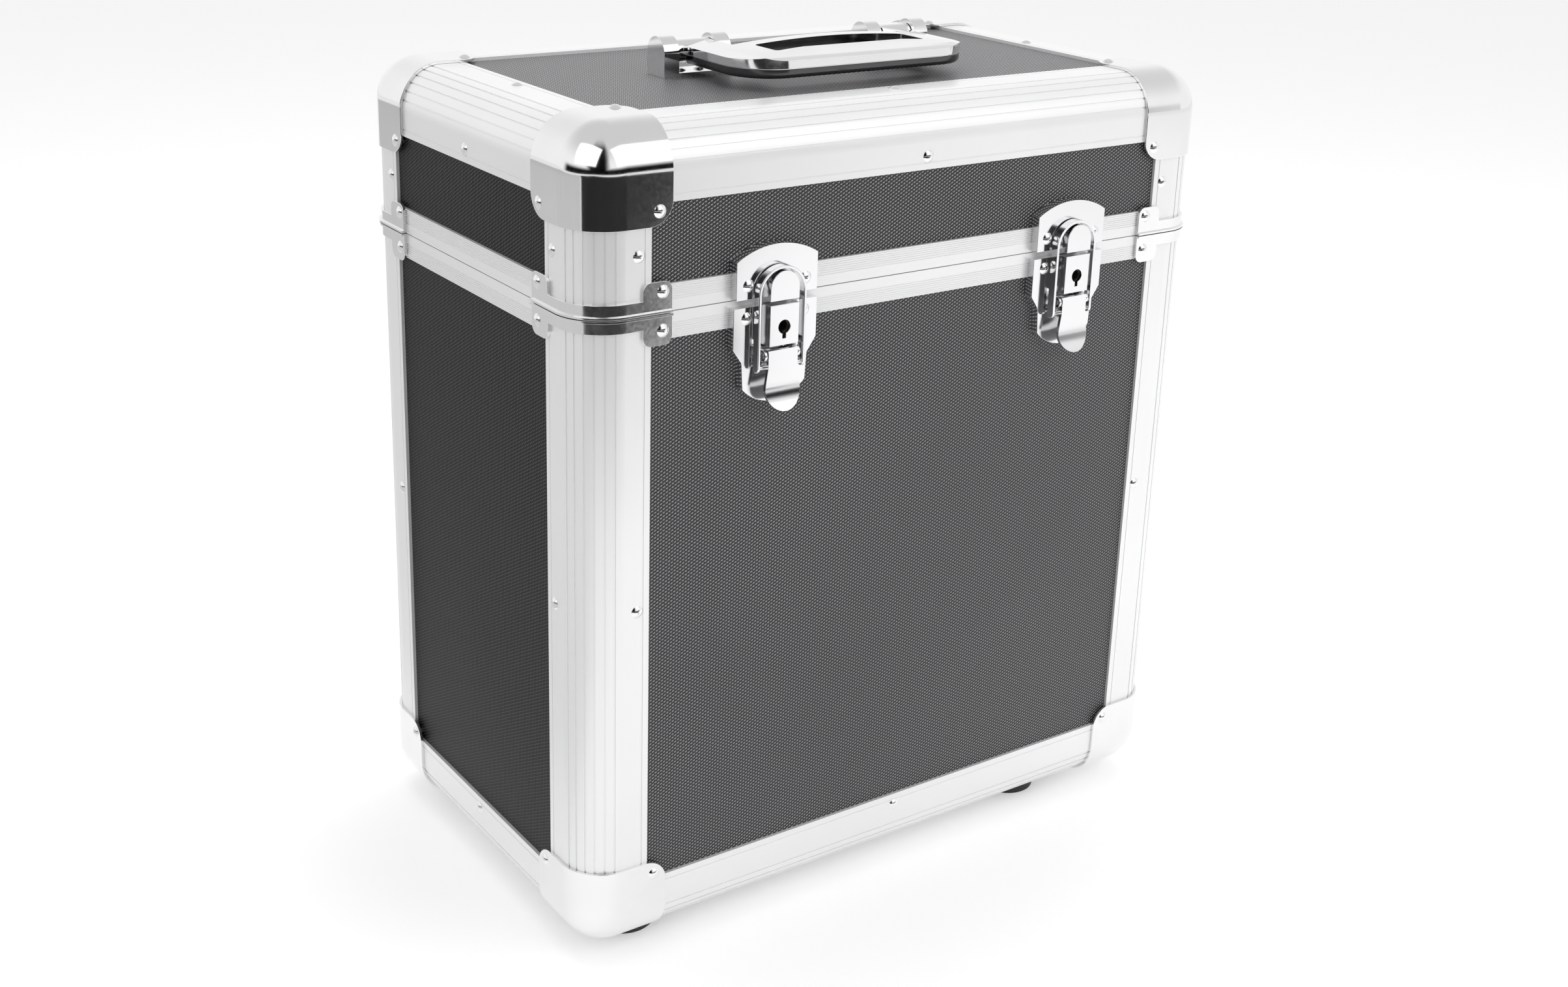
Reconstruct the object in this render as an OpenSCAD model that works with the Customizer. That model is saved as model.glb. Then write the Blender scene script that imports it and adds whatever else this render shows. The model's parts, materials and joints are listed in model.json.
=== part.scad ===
// Hard carrying case for twelve inch records, with a hinged lid, two locking draw
// latches, a folding grip on top, rounded edge profiles and ball corners.
// Units are millimetres. The case stands on its feet at z = 0, its width runs
// along X, its front faces -Y, and the origin is under the middle of its outline.

/* [Case] */
// Width over the edge profiles
case_w = 355; // [330:1:400]
// Depth over the edge profiles
case_d = 214; // [200:1:300]
// Height of the closed case without its feet
case_h = 385; // [370:1:440]
// Height of the lid above the split
lid_h = 79.5; // [70:0.5:100]
// Gap between the rims of lid and body
split_gap = 0.4; // [0.3:0.1:1]

/* [Boards and lining] */
// Thickness of the boards
board_t = 7; // [5:0.5:10]
// Thickness of the lining inside
lining_t = 1.5; // [1:0.5:3]

/* [Edge profiles] */
// Outer radius of the edge profiles
edge_r = 20; // [16:0.5:22]
// How far each flange reaches in from the outer faces
flange_reach = 32.5; // [30:0.5:34]
// Thickness of the flanges that lie on the boards
flange_t = 1.6; // [1.2:0.1:2.5]
// Number of grooves along the rounding
groove_count = 6; // [1:1:8]
// Width of a groove in the rounding
groove_w = 0.9; // [0.5:0.1:1.2]
// Depth of a groove in the rounding
groove_d = 0.4; // [0.2:0.1:0.8]
// Distance of the fine line from the flange's edge
line_in = 2.9; // [2:0.1:4]
// Width of the fine line
line_w = 0.5; // [0.3:0.1:0.8]
// Depth of the fine line
line_d = 0.3; // [0.2:0.1:0.5]

/* [Rims at the split] */
// Height of a rim's outer leg
rim_h = 12; // [11:0.5:14]
// Height of a rim's web that closes the boards' ends
rim_web = 4; // [3.6:0.2:6]
// Number of fine ribs on the outer leg
rib_count = 7; // [2:1:7]
// Spacing of the fine ribs
rib_pitch = 1; // [0.9:0.05:1.05]
// Depth of the cuts between the ribs
rib_d = 0.4; // [0.2:0.1:0.6]
// Width of the cuts between the ribs
rib_cut_w = 0.5; // [0.3:0.05:0.6]
// Thickness and length of the lid's tongue
tongue = 1.6; // [1:0.1:1.8]
// Clearance beside the tongue in its groove
tongue_gap = 0.6; // [0.5:0.05:0.8]

/* [Ball corners] */
// How far a ball corner reaches along each edge
cap_reach = 42; // [40:0.5:46]
// Thickness of its sheet
cap_t = 1.4; // [1:0.1:1.8]
// Radius of the corner of each lobe
cap_lobe_r = 11; // [6:0.5:14]
// Distance of its rivets from the outer faces
cap_rivet_in = 35.5; // [35:0.5:37]

/* [Corner braces] */
// Where a tab starts, from the outer face around the corner
brace_tab_from = 27.8; // [24:0.1:30]
// Where a tab ends
brace_reach = 42; // [41:0.5:46]
// Height of a tab
brace_tab_h = 14; // [13:0.5:16]
// Height of the band around the corner
brace_band_h = 6.3; // [4:0.1:9]
// Thickness of a brace
brace_t = 1.4; // [1:0.1:1.8]
// Height and reach of the rolled lip at the split
brace_lip = 1.1; // [0.6:0.1:1.3]
// Radius of a tab's free corners
brace_tab_r = 4; // [2:0.5:5]
// Distance of a brace's rivets from the outer face around the corner
brace_rivet_in = 37.4; // [36:0.1:38]
// Distance of the lid braces' rivets from the split
lid_brace_rivet_v = 9.5; // [8:0.5:9.5]
// Distance of the body braces' rivets from the split
body_brace_rivet_v = 7.5; // [7:0.5:9]

/* [Rivets] */
// Diameter of a rivet head
rivet_head_d = 5.9; // [5:0.1:7]
// Height of a rivet head
rivet_head_h = 1.3; // [1:0.1:1.8]
// Diameter of a rivet shank
rivet_d = 3.2; // [2.5:0.1:3.6]
// Length of a rivet in the board
rivet_grip = 5; // [3:0.5:5.5]
// Radial clearance round a rivet or screw
hole_gap = 0.1; // [0.05:0.05:0.2]
// Distance of the flange rivets from the outer faces
flange_rivet_in = 26.5; // [25.5:0.1:27]
// Height of the corner posts' rivets in the body
body_post_rivet_z = 170; // [120:5:220]
// Distance of the corner posts' rivets in the lid from the top
lid_post_rivet_down = 54; // [50:1:57]

/* [Feet] */
// Height of the rubber feet
foot_h = 8; // [6:0.5:12]
// Radius of a foot where it meets the case
foot_r = 16; // [12:0.5:18]
// Radius of a foot where it stands
foot_tread_r = 15; // [11:0.5:16]
// Distance of the left feet from the middle
foot_left_x = 138.5; // [120:0.5:139]
// Distance of the right feet from the middle
foot_right_x = 105; // [90:0.5:115]
// Distance of the feet from the front and back faces
foot_in = 33; // [30:0.5:40]
// Diameter of the screw in a foot
foot_screw_d = 4; // [3:0.5:5]
// Diameter of that screw's head
foot_screw_head_d = 8; // [7:0.5:9]
// Height of that screw's head
foot_screw_head_h = 2.4; // [2:0.2:3]
// Depth of the hole in the tread where the head sits
foot_recess = 4.2; // [3.5:0.1:4.5]

/* [Latches] */
// Distance of the left latch from the middle
latch_left_x = 84; // [60:0.5:100]
// Distance of the right latch from the middle
latch_right_x = 87.5; // [60:0.5:100]
// Width of the strike plate on the lid
strike_w = 42.5; // [40:0.5:44]
// Distance of the strike plate's lower edge above the split
strike_foot = 0.8; // [0.5:0.1:1.2]
// Height of the strike plate at its middle
strike_h = 23.2; // [21:0.2:24]
// Radius of the strike plate's arched top
strike_arch_r = 39.2; // [36:0.2:50]
// Height of the strike plate's face over the rim
strike_rise = 4.3; // [3:0.1:4.4]
// Wall of the pressed plates
plate_wall = 1.2; // [0.8:0.1:1.5]
// Width of the catch that the bail hooks over
catch_w = 15.2; // [13:0.2:16]
// Height of the catch's top above the split
catch_top = 13.3; // [12.5:0.1:13.5]
// Height of the catch's face over the rim
catch_rise = 10.5; // [9:0.1:11]
// Distance of the plates' rivets from the latch's middle
latch_rivet_x = 15; // [14:0.1:16]
// Distance of the strike plate's rivets above the split
strike_rivet_v = 6.9; // [6:0.1:8]
// Distance of the base plate's rivets below the split
base_rivet_v = 7.9; // [7:0.1:9]
// Width of the base plate's upper part
base_w = 44; // [42:0.5:46]
// Width of the base plate beside the lever's pivot
base_mid_w = 34.6; // [33:0.2:36]
// Width of the base plate where its rounded end starts
base_low_w = 33.2; // [32:0.2:34]
// Distance of the base plate's top below the split
base_top_v = 2.8; // [2:0.1:3.5]
// Where the base plate starts to narrow, below the split
base_shoulder_v = 21.1; // [20:0.1:22]
// Where the narrowing ends, below the split
base_mid_v = 27.9; // [26:0.1:30]
// Where the rounded end starts, below the split
base_low_v = 40.1; // [39:0.1:42]
// Where the rounded end stops, below the split
base_end_v = 47.5; // [46:0.1:52]
// Height of the base plate's face over the rim
base_rise = 3.6; // [3:0.1:4]
// Width of the lock housing
lockbox_w = 15.2; // [14:0.2:15.6]
// Distance of the lock housing's top below the split
lockbox_top_v = 1.6; // [1.4:0.1:2]
// Distance of the lock housing's bottom below the split
lockbox_end_v = 20.1; // [19.5:0.1:20.2]
// Height of the lock housing's face over the rim
lockbox_rise = 10.5; // [10:0.1:11]
// Distance of the keyhole below the split
keyhole_v = 11.8; // [11:0.1:12.2]
// Radius of the keyhole's round part
keyhole_r = 3.1; // [2.5:0.1:3.4]
// Width of the keyhole's slot
keyhole_slot_w = 1.7; // [1.2:0.1:2]
// Reach of the keyhole's slot below its round part
keyhole_slot = 2.2; // [1:0.1:2.2]
// Radius of the turning lock core
core_r = 5.5; // [5.4:0.05:5.7]
// How much narrower the core's keyway is than the keyhole, all round
keyway_inset = 0.4; // [0.2:0.1:0.6]
// Depth of the keyway in the lock core
keyway_depth = 5; // [3:0.5:6]
// Thickness of the housing's face over the lock core
lock_face_t = 1.8; // [1.2:0.1:2.4]
// Radial clearance of turning fits
turn_gap = 0.05; // [0.03:0.01:0.08]

/* [Levers and bails] */
// Distance of the lever's pivot below the split
pivot_v = 24.6; // [24.5:0.1:25]
// Height of the lever's pivot over the rim
pivot_rise = 7.5; // [7.3:0.1:7.7]
// Radius of the lever's pivot pin
pivot_pin_r = 1.25; // [1:0.05:1.4]
// Distance of the lever's upper end above its pivot
lever_head = 2.6; // [2.2:0.1:2.7]
// Width of the lever at its pivot
lever_w = 15.4; // [14.6:0.2:15.6]
// Width of the lever at its widest
lever_wide_w = 18.2; // [16:0.2:18.6]
// Distance of the widest place below the pivot
lever_wide_v = 15; // [12:0.5:17]
// Length of the lever below its pivot
lever_len = 24.8; // [22:0.2:27]
// Height of the lever's outer face over the rim
lever_rise = 10.3; // [10.2:0.1:10.4]
// Thickness of the lever's plate
lever_t = 1.6; // [1.2:0.1:1.8]
// How far the lever's tip curls out from its face
lever_curl = 3.6; // [2:0.1:4.5]
// Distance from the pivot down to where the curl starts
lever_curl_v = 12; // [10:0.5:14]
// Thickness of the lever's cheeks
cheek_t = 2.4; // [2:0.1:3]
// Radius of the cheeks round the pivot
cheek_r = 2.6; // [2.4:0.05:2.8]
// Thickness of the base plate's ears
ear_t = 1.3; // [1:0.1:1.5]
// Side clearance between lever and ears
ear_gap = 0.3; // [0.25:0.05:0.4]
// How far the pivot pin's ends stand out of the ears
pin_proud = 0.3; // [0.1:0.1:0.8]
// Radius of the cheeks round the bail's pin ends
bail_eye_r = 2.1; // [1.8:0.1:2.3]
// Distance of the bail's pin below the lever's pivot
bail_drop = 5.5; // [5:0.1:6]
// Height of the bail's pin over the rim
bail_rise = 7; // [6.8:0.1:7.2]
// Radius of the bail's pin ends
bail_pin_r = 1.05; // [0.8:0.05:1.2]
// Outer width of the bail
bail_w = 25; // [24.4:0.2:26]
// Thickness of the bail's strap
bail_t = 1.4; // [1.2:0.1:1.6]
// Depth of the bail's strap
bail_depth = 4; // [3:0.2:4]
// Clearance of the bail over the catch
bail_gap = 0.5; // [0.4:0.05:0.8]

/* [Hinges] */
// Distance of the hinges from the middle
hinge_x = 95; // [70:1:105]
// Width of a hinge
hinge_w = 50; // [40:1:54]
// Height of each hinge leaf
hinge_leaf_h = 24; // [20:0.5:30]
// Thickness of the leaves
hinge_t = 1.6; // [1.4:0.1:2]
// Distance of the hinge axis behind the case
hinge_out = 4; // [3.9:0.1:5]
// Radius of the hinge knuckles
knuckle_r = 3.2; // [3:0.1:3.4]
// Radius of the hinge pin
hinge_pin_r = 1.5; // [1.2:0.1:1.7]
// Width of the lid's middle knuckle
knuckle_w = 20; // [14:1:24]
// Side clearance of the knuckles
knuckle_gap = 0.4; // [0.3:0.1:0.6]
// Angle at which the hinge's stop ends the opening
open_angle = 105; // [95:1:110]
// Length of the stop's nose from the hinge axis
stop_len = 5.2; // [4.6:0.1:6]
// Thickness of the stop's nose
stop_t = 1.8; // [1.2:0.1:2]
// How far the nose stands in from each end of its knuckle
stop_inset = 1; // [0.5:0.5:2]
// Clearance left at the stop
stop_gap = 0.3; // [0.25:0.05:0.5]
// Distance of the leaves' rivets from the hinge's middle
hinge_rivet_x = 18; // [14:0.5:20]
// Distance of the leaves' rivets from the split
hinge_rivet_v = 10; // [9.5:0.5:12]

/* [Handle] */
// Half of the distance between the inner sides of the inner lugs
lug_from = 40.9; // [36:0.1:44]
// Width of a lug
lug_w = 8.3; // [7:0.1:9]
// Width of a hub between its two lugs
hub_w = 19.7; // [17:0.1:22]
// Side clearance between hub and lugs
hub_gap = 0.4; // [0.3:0.05:0.6]
// Radius of the lugs' round tops
lug_r = 7.65; // [7.5:0.05:8]
// Height of the handle's pivot above the top board
handle_pivot_up = 11.1; // [10.5:0.1:12]
// Thickness of the bracket between its lugs
bracket_t = 2; // [1.5:0.1:2]
// Distance of the bracket's rivets from the middle between its lugs
bracket_rivet_x = 5; // [3.8:0.1:6]
// Metal left over the ends of the pin in the lugs
lug_skin = 1.5; // [1:0.1:3]
// Distance of the handle's pivot behind the middle
handle_pivot_y = 1.5; // [-5:0.5:10]
// Radius of the handle's pins
handle_pin_r = 2; // [1.5:0.1:2.5]
// Radius of the handle's hubs
hub_r = 5.4; // [5:0.05:5.6]
// Half width of the grip
grip_half_w = 66; // [64:0.1:68]
// Distance of the grip's front from its pivot
grip_reach = 61.5; // [56:0.5:66]
// Radius of the grip's front corners
grip_corner_r = 22; // [16:0.5:24]
// Depth of the front bar that the hand holds
grip_bar = 13; // [12:0.5:16]
// Length of the finger opening
finger_w = 86; // [80:1:88]
// Depth of the finger opening
finger_d = 19; // [16:0.5:20]
// Radius of the finger opening's corners
finger_r = 2; // [1.5:0.5:7]
// Depth of the rear bar
rear_bar = 8; // [6:0.5:9]
// Height of the grip's underside below the pivot
grip_under = 5.2; // [4.8:0.1:5.6]
// Height of the parting line below the pivot
parting_down = 1; // [0.8:0.1:2]
// Height of the grip's crown above the pivot
grip_crown = 7.4; // [6.5:0.1:7.5]
// How far the crown falls to the grip's outer edge
crown_fall = 4.3; // [3:0.1:5]
// Distance over which the crown falls to the front edge
crown_run = 23; // [16:0.5:30]
// Height and depth of the groove along the parting line
parting_groove = 0.4; // [0.3:0.05:0.6]

/* [Hidden] */
$fn = 64;
// Sides of the larger curves, and of the very large ones of the grip's crown
curve_fn = 160;
crown_fn = 720;
// A little more, so that cuts pass right through
over = 1;
half_w = case_w / 2;
half_d = case_d / 2;
split_z = case_h - lid_h;
board_in = flange_t + board_t;
cavity_in = board_in + lining_t;
half_gap = split_gap / 2;
rivet_hole_r = rivet_d / 2 + hole_gap;
rivet_depth = flange_t + rivet_grip;
top_board_z = case_h - flange_t;
pivot_z = split_z - pivot_v;
bail_z = pivot_z - bail_drop;
bail_top_z = split_z + catch_top + bail_gap + bail_t;
handle_pivot_z = top_board_z + handle_pivot_up;
hub_from = lug_from + lug_w + hub_gap;
bracket_to = hub_from + hub_w + hub_gap + lug_w;
grip_front = handle_pivot_y - grip_reach;
latch_front = max(lever_rise + lever_curl, catch_rise, lockbox_rise);
stop_far = hinge_out - hinge_t - stop_gap;
// Where the stop's nose ends behind the case when the lid is shut
hinge_back = hinge_out + stop_len * sin(open_angle) - stop_far * cos(open_angle);
// The origin lies under the middle of the whole outline, latches and hinges included
shift_y = (latch_front - hinge_back) / 2;
foot_screw_len = foot_h - foot_recess + flange_t + rivet_grip;
// The tongue runs along the middle of the rims' webs
tongue_out = -(flange_t + cavity_in) / 2;

// ---------------------------------------------------------------- places

// From the case's own frame, with its underside at 0, to the standing frame
module in_case() {
    translate([0, shift_y, foot_h]) children();
}

// Sides are numbered 0 front, 1 right, 2 back, 3 left
FRONT = 0;
RIGHT = 1;
BACK = 2;
LEFT = 3;
function side_half(side) = side % 2 == 0 ? half_w : half_d;
function side_out(side) = side % 2 == 0 ? half_d : half_w;

// On a side face: x runs across, y up, z out of the face
module on_side(side) {
    rotate([0, 0, 90 * side]) translate([0, -side_out(side), 0]) rotate([90, 0, 0])
        children();
}

// On the top or bottom face: z runs out of the face
module on_end(top) {
    if (top) translate([0, 0, case_h]) children();
    else mirror([0, 0, 1]) children();
}

// At a corner of the case, with all three axes running into the case
module at_corner(right, back, top) {
    translate([right ? half_w : -half_w, back ? half_d : -half_d, top ? case_h : 0])
        mirror([right ? 1 : 0, 0, 0]) mirror([0, back ? 1 : 0, 0])
        mirror([0, 0, top ? 1 : 0]) children();
}

// At a latch on the front: x across, y up, z out of the rim's outer face
module at_latch(right) {
    on_side(FRONT) translate([right ? latch_right_x : -latch_left_x, 0, 0]) children();
}

// Extrudes a section along X: its x becomes Y and its y becomes Z
module across(from, to) {
    translate([from, 0, 0]) rotate([90, 0, 90]) linear_extrude(to - from) children();
}

// ---------------------------------------------------------------- rivets

module rivet(seat) {
    ball_r = (pow(rivet_head_d / 2, 2) + pow(rivet_head_h, 2)) / (2 * rivet_head_h);
    translate([0, 0, seat]) intersection() {
        translate([0, 0, rivet_head_h - ball_r]) sphere(r = ball_r);
        cylinder(d = rivet_head_d, h = rivet_head_h);
    }
    translate([0, 0, -rivet_depth]) cylinder(d = rivet_d, h = rivet_depth + seat);
}

module rivets(places, seat) {
    for (p = places) translate([p.x, p.y, 0]) rivet(seat);
}

module rivet_holes(places) {
    for (p = places) translate([p.x, p.y, -rivet_depth - hole_gap])
        cylinder(r = rivet_hole_r, h = rivet_depth + strike_rise + over);
}

// Rivet places on the sides, across and up
function both(x, y) = [[-x, y], [x, y]];
function flange_places(side, top) = concat(
    [[0, top ? case_h - flange_rivet_in : flange_rivet_in]],
    both(side_half(side) - flange_rivet_in,
         top ? case_h - lid_post_rivet_down : body_post_rivet_z));
function cap_places(side, top) =
    both(side_half(side) - cap_rivet_in, top ? case_h - cap_rivet_in : cap_rivet_in);
function brace_places(side, top) =
    both(side_half(side) - brace_rivet_in,
         top ? split_z + lid_brace_rivet_v : split_z - body_brace_rivet_v);
function latch_places(top) = [for (x = [-latch_left_x, latch_right_x])
    for (p = both(latch_rivet_x, split_z + (top ? strike_rivet_v : -base_rivet_v)))
        [p.x + x, p.y]];
function hinge_places(top) = [for (x = [-hinge_x, hinge_x])
    for (p = both(hinge_rivet_x, split_z + (top ? hinge_rivet_v : -hinge_rivet_v)))
        [p.x + x, p.y]];
function plate_places(side, top) =
    side == FRONT ? latch_places(top) : side == BACK ? hinge_places(top) : [];
function side_places(side, top) = concat(flange_places(side, top), cap_places(side, top),
    brace_places(side, top), plate_places(side, top));

// Rivet places on the top and bottom; the left feet's screws hold the left ball corners
function end_flange_places() = [
    [0, half_d - flange_rivet_in], [0, -half_d + flange_rivet_in],
    [half_w - flange_rivet_in, 0], [-half_w + flange_rivet_in, 0]];
function end_cap_places(top) = concat(
    [for (y = [-1, 1]) [half_w - cap_rivet_in, y * (half_d - cap_rivet_in)]],
    top ? [for (y = [-1, 1]) [-half_w + cap_rivet_in, y * (half_d - cap_rivet_in)]] : []);
function foot_places() = [for (x = [-foot_left_x, foot_right_x]) for (y = [-1, 1])
    [x, y * (half_d - foot_in)]];

module half_rivets(top) {
    for (side = [FRONT:LEFT]) on_side(side) {
        rivets(flange_places(side, top), 0);
        rivets(cap_places(side, top), cap_t);
        rivets(brace_places(side, top), brace_t);
    }
    on_side(FRONT) rivets(latch_places(top), top ? strike_rise : base_rise);
    on_side(BACK) rivets(hinge_places(top), hinge_t);
    on_end(top) {
        rivets(end_flange_places(), 0);
        rivets(end_cap_places(top), cap_t);
    }
}

module lid_rivet_set() {
    half_rivets(true);
    on_end(true) rivets(bracket_places(), bracket_t - flange_t);
}

// ---------------------------------------------------------------- boards

// A board on a side face, with its ends in the profiles and in the rim
module side_board(side, top) {
    half = side_half(side) - edge_r;
    low = top ? split_z + rim_web : edge_r;
    high = top ? case_h - edge_r : split_z - rim_web;
    color("dimgray") on_side(side) difference() {
        translate([-half, low, -board_in]) cube([2 * half, high - low, board_t]);
        rivet_holes(side_places(side, top));
    }
}

module end_board(top) {
    color("dimgray") on_end(top) difference() {
        translate([-half_w + edge_r, -half_d + edge_r, -board_in])
            cube([case_w - 2 * edge_r, case_d - 2 * edge_r, board_t]);
        rivet_holes(concat(end_flange_places(), end_cap_places(top)));
        if (top) rivet_holes(bracket_places());
        else foot_screw_holes();
    }
}

// The lining is an open box that lies against the boards
module lining(top) {
    low = board_in;
    high = (top ? lid_h : split_z) - rim_web;
    color("darkslategray") translate([0, 0, top ? case_h : 0])
        mirror([0, 0, top ? 1 : 0]) difference() {
            translate([-half_w + board_in, -half_d + board_in, low])
                cube([case_w - 2 * board_in, case_d - 2 * board_in, high - low]);
            translate([-half_w + cavity_in, -half_d + cavity_in, cavity_in])
                cube([case_w - 2 * cavity_in, case_d - 2 * cavity_in, high]);
        }
}

// ---------------------------------------------------------------- edge profiles

// Section of an edge profile, with the outer corner of the case at its origin
module edge_section() {
    difference() {
        union() {
            intersection() {
                translate([edge_r, edge_r]) circle(r = edge_r);
                square(edge_r);
            }
            translate([edge_r, 0]) square([flange_reach - edge_r, flange_t]);
            translate([0, edge_r]) square([flange_t, flange_reach - edge_r]);
        }
        translate([board_in, board_in]) square(edge_r);
        for (k = [1:groove_count])
            translate([edge_r, edge_r]) rotate(180 + 90 * k / (groove_count + 1))
                translate([edge_r - groove_d, -groove_w / 2])
                square([groove_d + over, groove_w]);
        for (flip = [0, 1]) mirror([flip, -flip])
            translate([flange_reach - line_in - line_w, -over])
            square([line_w, over + line_d]);
    }
}

// A rivet hole through both flanges of a profile, at a height along it
module flange_holes(along) {
    for (flip = [0, 1]) mirror([flip, -flip, 0])
        translate([flange_rivet_in, -over, along]) rotate([-90, 0, 0])
        cylinder(r = rivet_hole_r, h = flange_t + 2 * over);
}

// An upright profile; it ends under the ball corner and just short of the split
module post(right, back, top) {
    high = (top ? lid_h : split_z) - half_gap;
    color("silver") at_corner(right, back, top) difference() {
        translate([0, 0, flange_reach]) linear_extrude(high - flange_reach) edge_section();
        flange_holes(top ? lid_post_rivet_down : body_post_rivet_z);
    }
}

module lid_posts() {
    for (right = [false, true]) for (back = [false, true]) post(right, back, true);
}

// A level profile along a side, between the ball corners
module edge(side, top) {
    len = 2 * (side_half(side) - flange_reach);
    color("silver") difference() {
        rotate([0, 0, 90 * side]) translate([-len / 2, -side_out(side), top ? case_h : 0])
            mirror([0, 0, top ? 1 : 0]) rotate([90, 0, 90]) difference() {
                linear_extrude(len) edge_section();
                flange_holes(len / 2);
            }
        if (!top) on_end(false) foot_screw_holes();
    }
}

// ---------------------------------------------------------------- rims

// Section of a rim strip: x runs out of the face, y away from the split
module rim_leg_section() {
    difference() {
        translate([-flange_t, half_gap]) square([flange_t, rim_h - half_gap]);
        for (k = [1:rib_count])
            translate([-rib_d, rim_h - k * rib_pitch]) square([rib_d + over, rib_cut_w]);
    }
}

module rim_web_section(grooved) {
    difference() {
        translate([-cavity_in, half_gap])
            square([cavity_in - flange_t, rim_web - half_gap]);
        if (grooved) translate([tongue_out - tongue / 2 - tongue_gap, 0])
            square([tongue + 2 * tongue_gap, half_gap + tongue + tongue_gap]);
    }
}

module tongue_section() {
    translate([tongue_out - tongue / 2, -tongue]) square([tongue, tongue + split_gap]);
}

// Four strips that close the boards' ends at the split
module rim(top) {
    color("silver") for (side = [FRONT:LEFT]) {
        half = side_half(side);
        on_side(side) difference() {
            translate([0, split_z, 0]) mirror([0, top ? 0 : 1, 0]) {
                rim_strip(half - flange_reach) rim_leg_section();
                rim_strip(half - edge_r) rim_web_section(!top);
                if (top) rim_strip(half - edge_r - tongue_gap) tongue_section();
            }
            rivet_holes(concat(brace_places(side, top), plate_places(side, top)));
        }
    }
}

// Extrudes a section whose x runs out and y up along the strip
module rim_strip(half) {
    translate([-half, 0, 0]) rotate([0, 90, 0]) mirror([1, 0, 0])
        linear_extrude(2 * half) children();
}

// ---------------------------------------------------------------- ball corners

// The rounded corner of a box that starts at low and is rounded about edge_r
module round_corner(r, low, high) {
    span = high - edge_r;
    translate([edge_r, edge_r, edge_r]) {
        sphere(r = r);
        cylinder(r = r, h = span);
        rotate([0, 90, 0]) cylinder(r = r, h = span);
        rotate([-90, 0, 0]) cylinder(r = r, h = span);
    }
    translate([low, edge_r, edge_r]) cube([high - low, span, span]);
    translate([edge_r, low, edge_r]) cube([span, high - low, span]);
    translate([edge_r, edge_r, low]) cube([span, span, high - low]);
}

// A square with one rounded corner, extruded both ways
module lobe_outline(reach, grow) {
    linear_extrude(4 * reach, center = true) difference() {
        translate([-reach, -reach]) square(2 * reach + grow);
        translate([reach - cap_lobe_r, reach - cap_lobe_r]) difference() {
            square(cap_lobe_r + grow + over);
            circle(r = cap_lobe_r + grow);
        }
    }
}

module ball_corner(right, back, top) {
    color("lightgray") difference() {
        at_corner(right, back, top) difference() {
            intersection() {
                difference() {
                    round_corner(edge_r + cap_t, -cap_t, cap_reach + over);
                    round_corner(edge_r, 0, cap_reach + 2 * over);
                }
                lobe_outline(cap_reach, 0);
                rotate([0, -90, -90]) lobe_outline(cap_reach, 0);
                rotate([90, 0, 90]) lobe_outline(cap_reach, 0);
            }
            cap_rivet_holes();
            rotate([0, -90, -90]) cap_rivet_holes();
            rotate([90, 0, 90]) cap_rivet_holes();
        }
        if (!top) on_end(false) foot_screw_holes();
    }
}

module cap_rivet_holes() {
    translate([cap_rivet_in, cap_rivet_in, -cap_t - over])
        cylinder(r = rivet_hole_r, h = cap_t + 2 * over);
}

// ---------------------------------------------------------------- corner braces

// A band round the corner: x and y run into the case, z away from the split
module brace_band(reach, thick) {
    difference() {
        translate([-thick, -thick]) square(reach + thick);
        square(reach + over);
        translate([-thick - over, -thick - over]) square(edge_r + thick + over);
    }
    intersection() {
        translate([edge_r, edge_r]) difference() {
            circle(r = edge_r + thick);
            circle(r = edge_r);
        }
        translate([-thick, -thick]) square(edge_r + thick);
    }
}

module brace_tab() {
    rotate([90, 0, 0]) linear_extrude(brace_t) {
        translate([brace_tab_from, half_gap])
            square([brace_reach - brace_tab_from, brace_tab_h - half_gap - brace_tab_r]);
        translate([brace_tab_from + brace_tab_r, half_gap])
            square([brace_reach - brace_tab_from - 2 * brace_tab_r, brace_tab_h - half_gap]);
        for (x = [brace_tab_from + brace_tab_r, brace_reach - brace_tab_r])
            translate([x, brace_tab_h - brace_tab_r]) circle(r = brace_tab_r);
    }
}

module brace(right, back, top) {
    rivet_v = top ? lid_brace_rivet_v : body_brace_rivet_v;
    translate([right ? half_w : -half_w, back ? half_d : -half_d, split_z])
        mirror([right ? 1 : 0, 0, 0]) mirror([0, back ? 1 : 0, 0])
        mirror([0, 0, top ? 0 : 1]) difference() {
            union() {
                translate([0, 0, half_gap]) {
                    linear_extrude(brace_band_h - half_gap) brace_band(brace_reach, brace_t);
                    linear_extrude(brace_lip) brace_band(brace_reach, brace_t + brace_lip);
                }
                for (flip = [0, 1]) mirror([flip, -flip, 0]) brace_tab();
            }
            for (flip = [0, 1]) mirror([flip, -flip, 0])
                translate([brace_rivet_in, over, rivet_v]) rotate([90, 0, 0])
                cylinder(r = rivet_hole_r, h = brace_t + 2 * over);
        }
}

module braces(top) {
    color("lightgray") for (right = [false, true]) for (back = [false, true])
        brace(right, back, top);
}

// ---------------------------------------------------------------- feet

// Seen from below: x to the right, y to the back, z down
module foot_screw_holes() {
    for (p = foot_places()) translate([p.x, p.y, -flange_t - rivet_grip - hole_gap])
        cylinder(d = foot_screw_d + 2 * hole_gap, h = flange_t + rivet_grip + foot_h);
}

module feet() {
    color([0.06, 0.06, 0.06]) on_end(false) for (p = foot_places()) difference() {
        translate([p.x, p.y, 0]) cylinder(r1 = foot_r, r2 = foot_tread_r, h = foot_h);
        foot_screw_holes();
        translate([p.x, p.y, foot_h - foot_recess])
            cylinder(d = foot_screw_head_d + 4 * hole_gap, h = foot_recess + over);
        cap_shadow();
    }
}

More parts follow.
